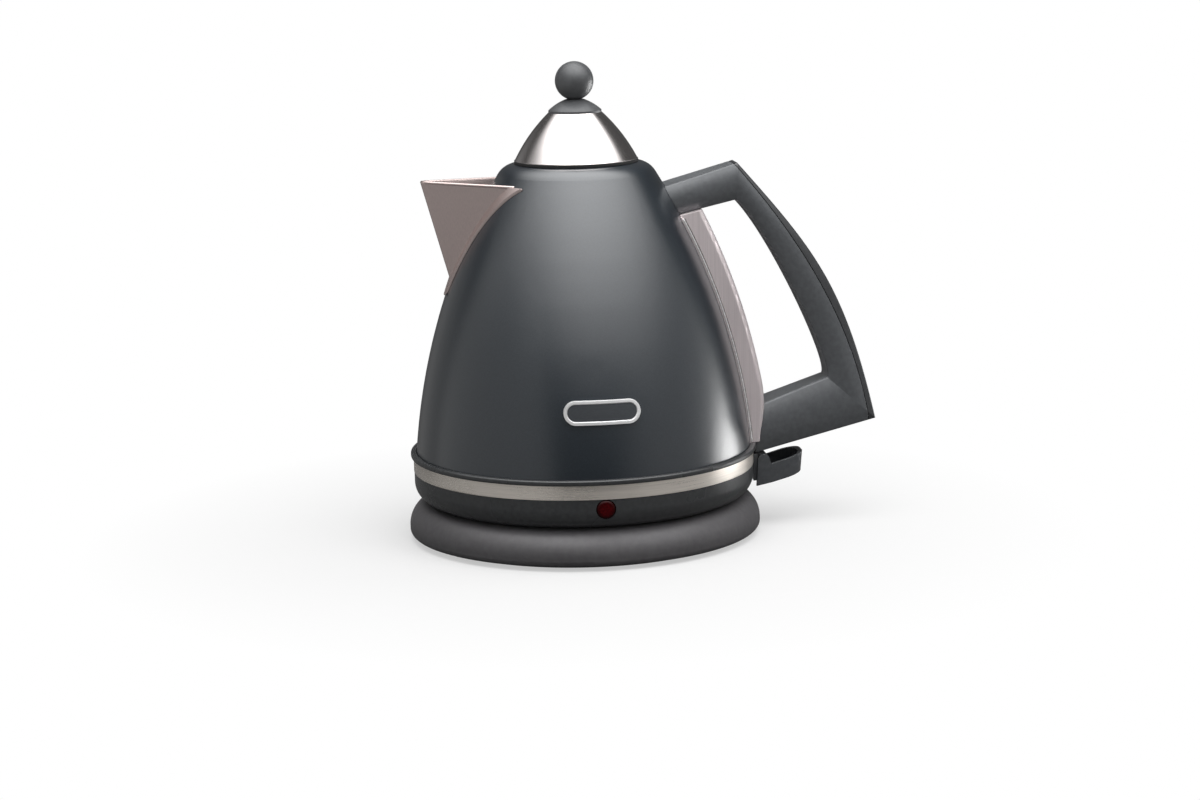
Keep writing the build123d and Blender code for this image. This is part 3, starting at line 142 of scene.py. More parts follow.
class Effects:
    """Shader node groups that several finishes share."""

    haze_scale: float = 0.45  # scale of the grain's haze against its cells
    haze_detail: float = 4.0
    cell_share: float = 0.6  # share of the cells in the grain's height
    speckle_range: tuple[float, float] = (0.35, 0.65)
    cloud_detail: float = 5.0
    cloud_warp: float = 0.6
    cloud_range: tuple[float, float] = (0.38, 0.64)
    edge_samples: int = 4
    alike_range: tuple[float, float] = (0.995, 0.8)  # likeness of normals, from flat to sharp
    line_turn: float = 3.0  # stretch of the brushed lines around the axis
    line_coarse: float = 12.0  # stretch along the lines
    line_fine: float = 4200.0  # stretch across the lines
    line_detail: float = 3.0
    line_roughness: float = 0.7
    line_range: tuple[float, float] = (0.3, 0.7)

    def __init__(self) -> None:
        """Builds each group once."""
        self.grain = self._grain()
        self.smudge = self._smudge()
        self.edges = self._edges()
        self.brushing = {lay: self._brushing(lay) for lay in Lay}
        self.flake = self._flake()

    @staticmethod
    def _start(
        name: str, inputs: dict[str, float], outputs: dict[str, str]
    ) -> tuple[Wiring, Sockets, Sockets]:
        """Makes an empty group with named sockets.

        Args:
            name: Name of the group.
            inputs: Start value of each input number.
            outputs: Socket type of each output.

        Returns:
            The wiring, the sockets of the inputs and the sockets of the outputs.
        """
        tree = bpy.data.node_groups.new(name, "ShaderNodeTree")
        for title, value in inputs.items():
            socket = tree.interface.new_socket(title, in_out="INPUT", socket_type="NodeSocketFloat")
            socket.default_value = value
        for title, kind in outputs.items():
            tree.interface.new_socket(title, in_out="OUTPUT", socket_type=kind)
        entry = tree.nodes.new("NodeGroupInput")
        leave = tree.nodes.new("NodeGroupOutput")
        return (
            Wiring(tree),
            {title: entry.outputs[title] for title in inputs},
            {title: leave.inputs[title] for title in outputs},
        )

    def _grain(self) -> bpy.types.NodeTree:
        """Fine moulded texture of a plastic or rubber.

        Returns:
            Group that puts out a height for bump and a light speckle for colour.
        """
        wiring, given, out = self._start(
            "moulded_grain",
            {"Scale": 900.0},
            {"Height": "NodeSocketFloat", "Speckle": "NodeSocketFloat"},
        )
        place = wiring.place()
        inputs = {"Vector": place, "Scale": given["Scale"]}
        cells = wiring.add("TexVoronoi", inputs, feature="SMOOTH_F1").outputs["Distance"]
        wide = wiring.sum("MULTIPLY", given["Scale"], self.haze_scale)
        inputs = {"Vector": place, "Scale": wide, "Detail": self.haze_detail}
        haze = wiring.add("TexNoise", inputs).outputs["Fac"]
        height = wiring.sum("ADD", wiring.sum("MULTIPLY", cells, self.cell_share), haze)
        wiring.feed(out["Height"], height)
        wiring.feed(out["Speckle"], wiring.span(haze, *self.speckle_range, 0.0, 1.0))
        return wiring.tree

    def _smudge(self) -> bpy.types.NodeTree:
        """Faint wiped patches and finger marks.

        Returns:
            Group that puts out a roughness around a base, and a mask of the patches.
        """
        wiring, given, out = self._start(
            "handling_smudge",
            {"Scale": 22.0, "Base": 0.4, "Spread": 0.08},
            {"Roughness": "NodeSocketFloat", "Mask": "NodeSocketFloat"},
        )
        inputs = {
            "Vector": wiring.place(),
            "Scale": given["Scale"],
            "Detail": self.cloud_detail,
            "Distortion": self.cloud_warp,
        }
        cloud = wiring.add("TexNoise", inputs).outputs["Fac"]
        mask = wiring.span(cloud, *self.cloud_range, 0.0, 1.0)
        shift = wiring.sum("MULTIPLY", wiring.sum("SUBTRACT", mask, 0.5), given["Spread"])
        wiring.feed(out["Roughness"], wiring.sum("ADD", given["Base"], shift, clamp=True))
        wiring.feed(out["Mask"], mask)
        return wiring.tree

    def _edges(self) -> bpy.types.NodeTree:
        """Softened edges.

        Returns:
            Group that puts out a rounded normal, and a mask that is 1 on a sharp edge.
        """
        wiring, given, out = self._start(
            "soft_edges",
            {"Radius": 0.0005},
            {"Normal": "NodeSocketVector", "Mask": "NodeSocketFloat"},
        )
        bevel = wiring.add("Bevel", {"Radius": given["Radius"]}, samples=self.edge_samples)
        rounded = bevel.outputs["Normal"]
        flat = wiring.add("NewGeometry").outputs["Normal"]
        alike = wiring.vector("DOT_PRODUCT", rounded, flat)
        wiring.feed(out["Normal"], rounded)
        wiring.feed(out["Mask"], wiring.span(alike, *self.alike_range, 0.0, 1.0))
        return wiring.tree

    def _brushing(self, lay: Lay) -> bpy.types.NodeTree:
        """Fine parallel lines of a brushed metal.

        Args:
            lay: Which way the lines run.

        Returns:
            Group that puts out a height for bump and a shade for colour and gloss.
        """
        wiring, given, out = self._start(
            f"brushing_{lay.value}",
            {"Scale": 1.0},
            {"Height": "NodeSocketFloat", "Shade": "NodeSocketFloat"},
        )
        place = wiring.add("SeparateXYZ", {0: wiring.place()}).outputs
        turn = wiring.sum("ARCTAN2", place["Y"], place["X"])
        flat = wiring.add("CombineXYZ", {0: place["X"], 1: place["Y"]}).outputs[0]
        reach = wiring.vector("LENGTH", flat)
        coarse, fine = self.line_coarse, self.line_fine
        parts = {
            Lay.AROUND: ((turn, self.line_turn), (place["Z"], fine), (reach, fine)),
            Lay.UPRIGHT: ((place["X"], fine), (place["Y"], fine), (place["Z"], coarse)),
            Lay.LENGTHWISE: ((place["X"], coarse), (place["Y"], fine), (place["Z"], fine)),
        }[lay]
        stretched = {axis: wiring.sum("MULTIPLY", *part) for axis, part in enumerate(parts)}
        spot = wiring.add("CombineXYZ", stretched).outputs[0]
        inputs = {
            "Vector": spot,
            "Scale": given["Scale"],
            "Detail": self.line_detail,
            "Roughness": self.line_roughness,
        }
        lines = wiring.add("TexNoise", inputs).outputs["Fac"]
        wiring.feed(out["Height"], lines)
        wiring.feed(out["Shade"], wiring.span(lines, *self.line_range, 0.0, 1.0))
        return wiring.tree

    def _flake(self) -> bpy.types.NodeTree:
        """Metal flakes in a paint.

        Returns:
            Group that puts out a shade for each flake.
        """
        wiring, given, out = self._start(
            "paint_flake", {"Scale": 2600.0}, {"Shade": "NodeSocketFloat"}
        )
        flakes = wiring.add("TexVoronoi", {"Vector": wiring.place(), "Scale": given["Scale"]})
        shade = wiring.add("SeparateColor", {0: flakes.outputs["Color"]}).outputs[0]
        wiring.feed(out["Shade"], shade)
        return wiring.tree


effects = Effects()


@dataclass(frozen=True)
class ShellLine:
    """Arc that the shell's outline follows."""

    centre: tuple[float, float] = (-0.2362863, 0.0151374)
    radius: float = 0.3206391

    def reach(self, height: float, out: float) -> float:
        """Distance from the axis to the shell's face at a height, moved out."""
        rise = height - self.centre[1]
        return self.centre[0] + math.sqrt((self.radius + out) ** 2 - rise**2)


SHELL_LINE = ShellLine()


def lift(colour: Colour, gain: float, offset: float = 0.0) -> Colour:
    """Makes a colour lighter or darker by a gain and an offset, held at white."""
    return tuple(min(1.0, part * gain + offset) for part in colour)


@dataclass(frozen=True)
class Finish:
    """A surface finish: its name and what every kind of finish has."""

    name: str
    colour: Colour
    roughness: float = 0.5
    edge: float = 0.0004

    def material(self) -> bpy.types.Material:
        """Finds the finish's material, or builds it the first time.

        Returns:
            The material.
        """
        known = bpy.data.materials.get(self.name)
        if known:
            return known
        made = bpy.data.materials.new(self.name)
        made.use_nodes = True
        made.node_tree.nodes.clear()
        wiring = Wiring(made.node_tree)
        inputs = {"Base Color": self.colour, "Roughness": self.roughness}
        shader = wiring.add("BsdfPrincipled", inputs)
        wiring.add("OutputMaterial", {"Surface": shader.outputs[0]})
        self.wire(wiring, shader)
        log.info("finish %s", self.name)
        return made

    def wire(self, wiring: Wiring, shader: bpy.types.Node) -> None:
        """Adds what this kind of finish feeds into its shader."""

    def soft_edges(self, wiring: Wiring) -> bpy.types.Node:
        """Adds the shared group of softened edges."""
        return wiring.group(effects.edges, {"Radius": self.edge})

    def smudges(self, wiring: Wiring, spread: float, scale: float) -> bpy.types.Node:
        """Adds the shared group of smudges around the finish's own roughness."""
        inputs = {"Base": self.roughness, "Spread": spread, "Scale": scale}
        return wiring.group(effects.smudge, inputs)

    def bump(
        self, wiring: Wiring, height: Value, depth: float, normal: Value
    ) -> bpy.types.NodeSocket:
        """Adds a bump on top of a normal: a height from 0 to 1 and its depth in metres."""
        inputs = {"Height": height, "Distance": depth, "Strength": 1.0, "Normal": normal}
        return wiring.add("Bump", inputs).outputs["Normal"]


@dataclass(frozen=True)
class MouldedPlastic(Finish):
    """Plastic with a fine moulded grain and edges worn a little lighter."""

    grain_scale: float = 900.0
    grain_depth: float = 0.00002
    worn: float = 0.25
    smudge_spread: float = 0.09
    smudge_scale: float = 22.0
    speckle: tuple[float, float] = (1.14, 0.004)
    pale: tuple[float, float] = (1.6, 0.03)

    def wire(self, wiring: Wiring, shader: bpy.types.Node) -> None:
        """Feeds grain, smudges and lighter edges into the shader.

        Args:
            wiring: Wiring of the material's tree.
            shader: The material's Principled BSDF.
        """
        grain = wiring.group(effects.grain, {"Scale": self.grain_scale}).outputs
        smudge = self.smudges(wiring, self.smudge_spread, self.smudge_scale).outputs
        edges = self.soft_edges(wiring).outputs
        speckled = wiring.blend(grain["Speckle"], self.colour, lift(self.colour, *self.speckle))
        wear = wiring.sum("MULTIPLY", smudge["Mask"], self.worn)
        worn = wiring.sum("MULTIPLY", edges["Mask"], wear)
        inputs = {
            "Base Color": wiring.blend(worn, speckled, lift(self.colour, *self.pale)),
            "Roughness": smudge["Roughness"],
            "Normal": self.bump(wiring, grain["Height"], self.grain_depth, edges["Normal"]),
        }
        wiring.fill(shader, inputs)


@dataclass(frozen=True)
class BrushedMetal(Finish):
    """Satin metal with fine lines that run one way."""

    lay: Lay = Lay.UPRIGHT
    line_scale: float = 1.0
    line_depth: float = 0.000004
    line_gloss: float = 0.08
    contrast: float = 0.2
    metallic: float = 1.0
    smudge_spread: float = 0.08
    smudge_scale: float = 16.0

    def wire(self, wiring: Wiring, shader: bpy.types.Node) -> None:
        """Feeds brushed lines and smudges into a metal shader.

        Args:
            wiring: Wiring of the material's tree.
            shader: The material's Principled BSDF.
        """
        lines = wiring.group(effects.brushing[self.lay], {"Scale": self.line_scale}).outputs
        smudge = self.smudges(wiring, self.smudge_spread, self.smudge_scale).outputs
        normal = self.soft_edges(wiring).outputs["Normal"]
        dark = lift(self.colour, 1.0 - self.contrast)
        dull = wiring.sum("MULTIPLY", lines["Shade"], self.line_gloss)
        inputs = {
            "Base Color": wiring.blend(lines["Shade"], dark, self.colour),
            "Roughness": wiring.sum("ADD", smudge["Roughness"], dull),
            "Metallic": self.metallic,
            "Normal": self.bump(wiring, lines["Height"], self.line_depth, normal),
        }
        wiring.fill(shader, inputs)


@dataclass(frozen=True)
class PolishedMetal(Finish):
    """Mirror-bright metal with a trace of wiped haze."""

    lay: Lay = Lay.AROUND
    line_scale: float = 0.35
    line_gloss: float = 0.02
    haze: float = 0.94
    smudge_spread: float = 0.04
    smudge_scale: float = 30.0

    def wire(self, wiring: Wiring, shader: bpy.types.Node) -> None:
        """Feeds haze and hairline scratches into a metal shader.

        Args:
            wiring: Wiring of the material's tree.
            shader: The material's Principled BSDF.
        """
        lines = wiring.group(effects.brushing[self.lay], {"Scale": self.line_scale}).outputs
        smudge = self.smudges(wiring, self.smudge_spread, self.smudge_scale).outputs
        dull = wiring.sum("MULTIPLY", lines["Shade"], self.line_gloss)
        inputs = {
            "Base Color": wiring.blend(smudge["Mask"], self.colour, lift(self.colour, self.haze)),
            "Roughness": wiring.sum("ADD", smudge["Roughness"], dull),
            "Metallic": 1.0,
            "Normal": self.soft_edges(wiring).outputs["Normal"],
        }
        wiring.fill(shader, inputs)


@dataclass(frozen=True)
class ShellPaint(Finish):
    """Satin metallic paint outside, bare steel inside."""

    flake: float = 0.3
    flake_scale: float = 2600.0
    glint: float = 0.003
    smudge_spread: float = 0.05
    smudge_scale: float = 9.0
    peel_scale: float = 420.0
    peel_detail: float = 1.0
    peel_depth: float = 0.000004
    coat_roughness: float = 0.26
    steel: Colour = (0.56, 0.55, 0.54)
    steel_roughness: float = 0.32
    steel_scale: float = 0.6
    steel_gloss: float = 0.12
    inward_range: tuple[float, float] = (-0.0005, -0.001)

    def wire(self, wiring: Wiring, shader: bpy.types.Node) -> None:
        """Feeds flakes, orange peel and the bare inside into the shader.

        Args:
            wiring: Wiring of the material's tree.
            shader: The material's Principled BSDF.
        """
        coords = wiring.add("TexCoord").outputs
        outward = wiring.vector("MULTIPLY", coords["Object"], (1.0, 1.0, 0.0))
        facing = wiring.vector("DOT_PRODUCT", outward, coords["Normal"])
        inside = wiring.span(facing, *self.inward_range, 0.0, 1.0)
        flake = wiring.group(effects.flake, {"Scale": self.flake_scale}).outputs["Shade"]
        smudge = self.smudges(wiring, self.smudge_spread, self.smudge_scale).outputs
        brushing = effects.brushing[Lay.AROUND]
        lines = wiring.group(brushing, {"Scale": self.steel_scale}).outputs["Shade"]
        bright = lift(self.colour, 1.0 + self.flake, self.glint)
        paint = wiring.blend(flake, lift(self.colour, 1.0 - self.flake), bright)
        dull = wiring.sum("MULTIPLY", lines, self.steel_gloss)
        bare = wiring.sum("ADD", self.steel_roughness, dull)
        texture = {
            "Vector": coords["Object"],
            "Scale": self.peel_scale,
            "Detail": self.peel_detail,
        }
        peel = wiring.add("TexNoise", texture).outputs["Fac"]
        normal = self.soft_edges(wiring).outputs["Normal"]
        inputs = {
            "Base Color": wiring.blend(inside, paint, self.steel),
            "Roughness": wiring.mix(inside, smudge["Roughness"], bare),
            "Metallic": inside,
            "Coat Weight": wiring.sum("SUBTRACT", 1.0, inside),
            "Coat Roughness": self.coat_roughness,
            "Normal": self.bump(wiring, peel, self.peel_depth, normal),
        }
        wiring.fill(shader, inputs)


@dataclass(frozen=True)
class SoftRubber(Finish):
    """Matt rubber or silicone with a dusty bloom."""

    grain_scale: float = 1400.0
    grain_depth: float = 0.000015
    smudge_spread: float = 0.1
    smudge_scale: float = 40.0
    bloom: tuple[float, float] = (1.3, 0.012)
    specular: float = 0.3

    def wire(self, wiring: Wiring, shader: bpy.types.Node) -> None:
        """Feeds a fine grain and a pale bloom into the shader.

        Args:
            wiring: Wiring of the material's tree.
            shader: The material's Principled BSDF.
        """
        grain = wiring.group(effects.grain, {"Scale": self.grain_scale}).outputs["Height"]
        smudge = self.smudges(wiring, self.smudge_spread, self.smudge_scale).outputs
        normal = self.soft_edges(wiring).outputs["Normal"]
        bloom = lift(self.colour, *self.bloom)
        inputs = {
            "Base Color": wiring.blend(smudge["Mask"], self.colour, bloom),
            "Roughness": smudge["Roughness"],
            "Normal": self.bump(wiring, grain, self.grain_depth, normal),
            "Specular IOR Level": self.specular,
        }
        wiring.fill(shader, inputs)


@dataclass(frozen=True)
class ClearPart(Finish):
    """Clear moulded plastic or glass."""

    ior: float = 1.49
    smudge_spread: float = 0.05
    smudge_scale: float = 60.0

    def wire(self, wiring: Wiring, shader: bpy.types.Node) -> None:
        """Makes the shader clear, with a trace of haze.

        Args:
            wiring: Wiring of the material's tree.
            shader: The material's Principled BSDF.
        """
        smudge = self.smudges(wiring, self.smudge_spread, self.smudge_scale).outputs
        inputs = {"Roughness": smudge["Roughness"], "Transmission Weight": 1.0, "IOR": self.ior}
        wiring.fill(shader, inputs)


@dataclass(frozen=True)
class RedLens(Finish):
    """Dark red lens with a moulded pattern of small cells behind its face."""

    cell_scale: float = 900.0
    cell_range: tuple[float, float] = (0.1, 0.7)
    cell_gain: float = 1.8
    rim_start: float = 0.0022
    rim_gain: float = 0.25
    specular: float = 0.1

    def wire(self, wiring: Wiring, shader: bpy.types.Node) -> None:
        """Feeds the cells and a darker rim into a glossy red shader.

        Args:
            wiring: Wiring of the material's tree.
            shader: The material's Principled BSDF.
        """
        place = wiring.place()
        low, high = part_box("indicator_lens")
        middle = (low + high) / 2
        across = wiring.vector("SUBTRACT", place, (middle.x, 0.0, middle.z))
        reach = wiring.vector("LENGTH", wiring.vector("MULTIPLY", across, (1.0, 0.0, 1.0)))
        rim = wiring.span(reach, self.rim_start, (high.x - low.x) / 2, 0.0, 1.0)
        texture = {"Vector": place, "Scale": self.cell_scale}
        cells = wiring.add("TexVoronoi", texture, feature="F1").outputs["Distance"]
        edge = wiring.span(cells, *self.cell_range, 0.0, 1.0)
        lit = wiring.blend(edge, lift(self.colour, self.cell_gain), self.colour)
        inputs = {
            "Base Color": wiring.blend(rim, lit, lift(self.colour, self.rim_gain)),
            "Specular IOR Level": self.specular,
        }
        wiring.fill(shader, inputs)


@dataclass(frozen=True)
class RimmedPlate(Finish):
    """Small oval plate: bright raised rim around a bare dark field."""

    field_colour: Colour = (0.06, 0.065, 0.072)
    field_gain: float = 1.25
    field_roughness: float = 0.38
    field_metallic: float = 0.5
    rim: float = 0.0017
    rim_metallic: float = 0.35
    rim_blur: tuple[float, float] = (-0.00008, 0.00002)
    smudge_spread: float = 0.05
    smudge_scale: float = 90.0

    def wire(self, wiring: Wiring, shader: bpy.types.Node) -> None:
        """Parts the rim from the field by the distance to the oval's edge.

        Args:
            wiring: Wiring of the material's tree.
            shader: The material's Principled BSDF.
        """
        low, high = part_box("name_plate")
        middle = (low + high) / 2
        offset = wiring.vector("SUBTRACT", wiring.place(), (middle.x, 0.0, middle.z))
        parts = wiring.add("SeparateXYZ", {0: offset}).outputs
        height = high.z - low.z
        straight = (high.x - low.x - height) / 2
        past = wiring.sum("SUBTRACT", wiring.sum("ABSOLUTE", parts["X"]), straight)
        along = wiring.sum("MAXIMUM", past, 0.0)
        both = wiring.add("CombineXYZ", {0: along, 2: parts["Z"]}).outputs[0]
        edge = height / 2 - self.rim
        start, end = (edge + blur for blur in self.rim_blur)
        rim = wiring.span(wiring.vector("LENGTH", both), start, end, 0.0, 1.0)
        smudge = self.smudges(wiring, self.smudge_spread, self.smudge_scale).outputs
        lines = wiring.group(effects.brushing[Lay.LENGTHWISE], {"Scale": 1.0}).outputs["Shade"]
        pale = lift(self.field_colour, self.field_gain)
        bare = wiring.blend(lines, self.field_colour, pale)
        inputs = {
            "Base Color": wiring.blend(rim, bare, self.colour),
            "Roughness": wiring.mix(rim, self.field_roughness, smudge["Roughness"]),
            "Metallic": wiring.span(rim, 0.0, 1.0, self.field_metallic, self.rim_metallic),
            "Normal": self.soft_edges(wiring).outputs["Normal"],
        }
        wiring.fill(shader, inputs)


# Finishes of this kettle
SLATE_PAINT = ShellPaint("slate_paint", (0.012, 0.018, 0.025), 0.3, flake=0.1)
# Lid chrome: the metal's own pale colour, with a slight pinkish warmth that is a painted reflection
# of warm surroundings.
LID_CHROME = PolishedMetal("lid_mirror", (0.8, 0.755, 0.745), 0.18)
KNOB_GREY = MouldedPlastic("knob_grey", (0.085, 0.088, 0.092), 0.42)
SPOUT_STEEL = BrushedMetal("spout_satin", (0.58, 0.485, 0.465), 0.42, lay=Lay.UPRIGHT)
# Spine steel: grey steel whose pinkish tint is a painted reflection of warm, skin-coloured
# surroundings.
SPINE_STEEL = BrushedMetal("spine_satin", (0.85, 0.765, 0.775), 0.42, lay=Lay.UPRIGHT, metallic=0.5)
BAND_STEEL = BrushedMetal("band_steel", (0.98, 0.91, 0.83), 0.26, lay=Lay.AROUND, metallic=0.75)
INNER_STEEL = BrushedMetal("inner_satin", (0.6, 0.6, 0.59), 0.35, lay=Lay.AROUND)
SCREW_STEEL = BrushedMetal("screw_satin", (0.5, 0.5, 0.5), 0.4, lay=Lay.AROUND)
MESH_STEEL = BrushedMetal("mesh_steel", (0.6, 0.58, 0.55), 0.35, lay=Lay.UPRIGHT)
CAST_ALUMINIUM = BrushedMetal("cast_aluminium", (0.68, 0.68, 0.68), 0.5, lay=Lay.AROUND)
BRASS = BrushedMetal("brass_satin", (0.75, 0.55, 0.25), 0.3, lay=Lay.UPRIGHT)
HANDLE_GREY = MouldedPlastic("handle_grey", (0.11, 0.116, 0.123), 0.38)
STRIP_GREY = MouldedPlastic("strip_grey", (0.045, 0.047, 0.05), 0.22, grain_depth=0.000006)
SKIRT_GREY = MouldedPlastic("skirt_grey", (0.042, 0.044, 0.046), 0.28)
SWITCH_GREY = MouldedPlastic("switch_grey", (0.085, 0.09, 0.097), 0.22, grain_depth=0.000006)
BASE_GREY = MouldedPlastic(
    "base_grey", (0.085, 0.082, 0.086), 0.52, grain_scale=700.0, grain_depth=0.00003
)
SOCKET_BLACK = MouldedPlastic("socket_black", (0.012, 0.012, 0.013), 0.3)
CONTROL_BLACK = MouldedPlastic("control_black", (0.02, 0.02, 0.022), 0.42)
PLUG_GREY = MouldedPlastic("plug_grey", (0.05, 0.052, 0.055), 0.45)
FILTER_GREY = MouldedPlastic("filter_grey", (0.32, 0.33, 0.34), 0.45)
BLACK_RUBBER = SoftRubber("black_rubber", (0.018, 0.018, 0.018), 0.7)
PALE_SILICONE = SoftRubber("pale_silicone", (0.62, 0.62, 0.6), 0.55)
CLEAR_GAUGE = ClearPart("clear_gauge", (0.86, 0.9, 0.92), 0.08)
LAMP_GLASS = ClearPart("lamp_clear", (0.95, 0.75, 0.65), 0.05, ior=1.5)
LENS_RED = RedLens("lens_ruby", (0.05, 0.0004, 0.0015), 0.25)
BEAD_STEEL = BrushedMetal("bead_steel", (0.95, 0.92, 0.92), 0.24, lay=Lay.UPRIGHT, metallic=0.5)
MARK_WHITE = MouldedPlastic("mark_white", (0.75, 0.75, 0.73), 0.5, worn=0.0)
OVAL_PLATE = RimmedPlate("oval_plate", (0.92, 0.92, 0.92), 0.3)


# How far each ring of a bead's domed end stands out and how wide it is, against the radius
DOME = ((0.92, 0.4), (0.7, 0.71), (0.38, 0.92))


def bead(name: str, line: list[Vector], radius: float, sides: int = 12) -> bpy.types.Object:
    """Makes a round bead with domed ends along a line.

    Args:
        name: Name of the piece.
        line: Points of its middle line.
        radius: Radius of the bead.
        sides: Points around it.

    Returns:
        The new piece.
    """
    shape = bmesh.new()
    first = (line[0] - line[1]).normalized()
    last = (line[-1] - line[-2]).normalized()
    stations = [(line[0] + first * radius * rise, radius * grow) for rise, grow in DOME]
    stations += [(point, radius) for point in line]
    stations += [(line[-1] + last * radius * rise, radius * grow) for rise, grow in DOME[::-1]]
    rings = []
    for index, (point, size) in enumerate(stations):
        after = stations[min(index + 1, len(stations) - 1)][0]
        before = stations[max(index - 1, 0)][0]
        turn = (after - before).normalized().to_track_quat("Z", "Y")
        angles = (math.tau * side / sides for side in range(sides))
        offsets = (Vector((math.cos(angle), math.sin(angle), 0.0)) * size for angle in angles)
        rings.append([shape.verts.new(point + turn @ offset) for offset in offsets])
    for near, far in zip(rings, rings[1:]):
        for side in range(sides):
            other = (side + 1) % sides
            shape.faces.new((near[side], near[other], far[other], far[side]))
    shape.faces.new(rings[0][::-1])
    shape.faces.new(rings[-1])
    bmesh.ops.recalc_face_normals(shape, faces=shape.faces)
    mesh = bpy.data.meshes.new(name)
    shape.to_mesh(mesh)
    shape.free()
    mesh.polygons.foreach_set("use_smooth", [True] * len(mesh.polygons))
    piece = bpy.data.objects.new(name, mesh)
    bpy.context.scene.collection.objects.link(piece)
    return piece


@dataclass
class Assembly:
    """A group of CAD nodes and the finish that each one wears."""

    finishes: dict[str, Finish] = field(default_factory=dict)

    def dress(self) -> None:
        """Gives each node its finish."""
        for name, finish in self.finishes.items():
            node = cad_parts[name]
            node.data.materials.clear()
            node.data.materials.append(finish.material())
            log.info("dressed %s in %s", name, finish.name)


@dataclass
class PowerBase(Assembly):
    """Round base with its socket post."""

    finishes: dict[str, Finish] = field(
        default_factory=lambda: {
            "base_cover": BASE_GREY,
            "base_bottom": BASE_GREY,
            "foot_ring": BLACK_RUBBER,
            "base_screws": SCREW_STEEL,
            "base_socket": SOCKET_BLACK,
            "socket_earth_contact": BRASS,
            "socket_live_contact": BRASS,
            "socket_neutral_contact": BRASS,
            "cord_gland": BLACK_RUBBER,
            "shutter_ring": CONTROL_BLACK,
        }
    )


@dataclass
class Vessel(Assembly):
    """Painted shell with its spout, spine, plate and skirt."""

    body: str = "kettle"
    bead_radius: float = 0.0006
    bead_aside: float = 0.0154
    bead_out: float = 0.0009
    # Dark bead along each side of the spine, in black rubber: a painted shadow of the gap there,
    # not a real part.
    shadow_line_radius: float = 0.0005
    shadow_line_aside: float = 0.0142
    shadow_line_out: float = 0.0012
    bead_heights: tuple[float, float] = (0.0446, 0.1565)
    bead_steps: int = 40
    rim_tip: float = -0.0792
    rim_end: float = -0.0322
    rim_height: float = 0.1781
    rim_fall: float = 2.4
    rim_half_angle: float = 27.2
    rim_radius: float = 0.00075
    rim_wall: float = 0.0012
    rim_tip_round: float = 0.0032
    rim_steps: int = 24
    marks: int = 8
    mark_heights: tuple[float, float] = (0.09, 0.137)
    mark_width: float = 0.0026
    mark_short: float = 0.6
    mark_radius: float = 0.0003
    mark_out: float = 0.01
    mark_points: int = 5

    finishes: dict[str, Finish] = field(
        default_factory=lambda: {
            "body_shell": SLATE_PAINT,
            "spout": SPOUT_STEEL,
            "spine": SPINE_STEEL,
            "gauge_window": CLEAR_GAUGE,
            "gauge_seal": BLACK_RUBBER,
            "steam_tube": PALE_SILICONE,
            "name_plate": OVAL_PLATE,
            "lower_skirt": SKIRT_GREY,
            "trim_band": BAND_STEEL,
            "indicator_lens": LENS_RED,
            "indicator_lamp": LAMP_GLASS,
            "lamp_holder": CONTROL_BLACK,
        }
    )

    def dress(self) -> None:
        """Dresses the nodes and adds the beads, the dark lines of painted shadow beside the spine,
        the rim and the marks.
        """
        super().dress()
        for side, sign in (("near", -1.0), ("far", 1.0)):
            edge = self._bead_line(sign * self.bead_aside, self.bead_out)
            self.add(f"spine_bead_{side}", edge, self.bead_radius, BEAD_STEEL, "spine_steel")
            # Dark line beside the spine: a painted shadow of the gap between the spine and the
            # shell.
            shadow_line = self._bead_line(sign * self.shadow_line_aside, self.shadow_line_out)
            self.add(f"spine_shadow_line_{side}", shadow_line, self.shadow_line_radius, BLACK_RUBBER, "rubber_black")
        self.add("spout_rim", self._rim_line(), self.rim_radius, SPOUT_STEEL, "spout_steel")
        for step in range(self.marks):
            line = self._mark_line(step)
            self.add(f"gauge_mark_{step + 1}", line, self.mark_radius, MARK_WHITE, "spine_steel")

    def add(
        self, name: str, line: list[Vector], radius: float, finish: Finish, slot: str
    ) -> None:
        """Adds one rounded bead that moves with the kettle.

        Args:
            name: Name of the piece.
            line: Points of its middle line.
            radius: Radius of the bead.
            finish: Finish that it wears.
            slot: Name of the slot that the finish comes from; not used.
        """
        piece = bead(name, line, radius)
        piece.data.materials.append(finish.material())
        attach(piece, self.body)
        log.info("piece %s", name)

    def _bead_line(self, aside: float, out: float) -> list[Vector]:
        """Line up one side of the spine.

        Args:
            aside: Distance from the middle plane, with its sign.
            out: Distance from the shell's face.

        Returns:
            Points of the line, from the foot up.
        """
        low, high = self.bead_heights
        line = []
        for step in range(self.bead_steps + 1):
            height = low + (high - low) * step / self.bead_steps
            reach = SHELL_LINE.reach(height, out)
            line.append(Vector((math.sqrt(reach**2 - aside**2), aside, height)))
        return line

    def _mark_line(self, step: int) -> list[Vector]:
        """Line of one gauge mark, every second one short.

        Args:
            step: Number of the mark, from the lowest.

        Returns:
            Points of the line, across the spine.
        """
        low, high = self.mark_heights
        height = low + (high - low) * step / (self.marks - 1)
        half = self.mark_width * (1.0 if step % 2 == 0 else self.mark_short)
        out = SHELL_LINE.reach(height, self.mark_out)
        parts = (2 * point / (self.mark_points - 1) - 1 for point in range(self.mark_points))
        return [Vector((out, half * part, height)) for part in parts]

    def _rim_line(self) -> list[Vector]:
        """Line along the top edge of the spout, around its tip.

        Returns:
            Points of the line, from one side of the body to the other.
        """
        slope = math.tan(math.radians(self.rim_half_angle))
        fall = math.tan(math.radians(self.rim_fall))
        inset = self.rim_wall / 2 / math.cos(math.radians(self.rim_half_angle))
        start = self.rim_tip + self.rim_tip_round
        line = []
        for step in range(-self.rim_steps, self.rim_steps + 1):
            along = start + abs(step) / self.rim_steps * (self.rim_end - start)
            back = along - self.rim_tip
            aside = math.copysign(max(0.0, back * slope - inset), step) if step else 0.0
            line.append(Vector((along, aside, self.rim_height - back * fall)))
        return line


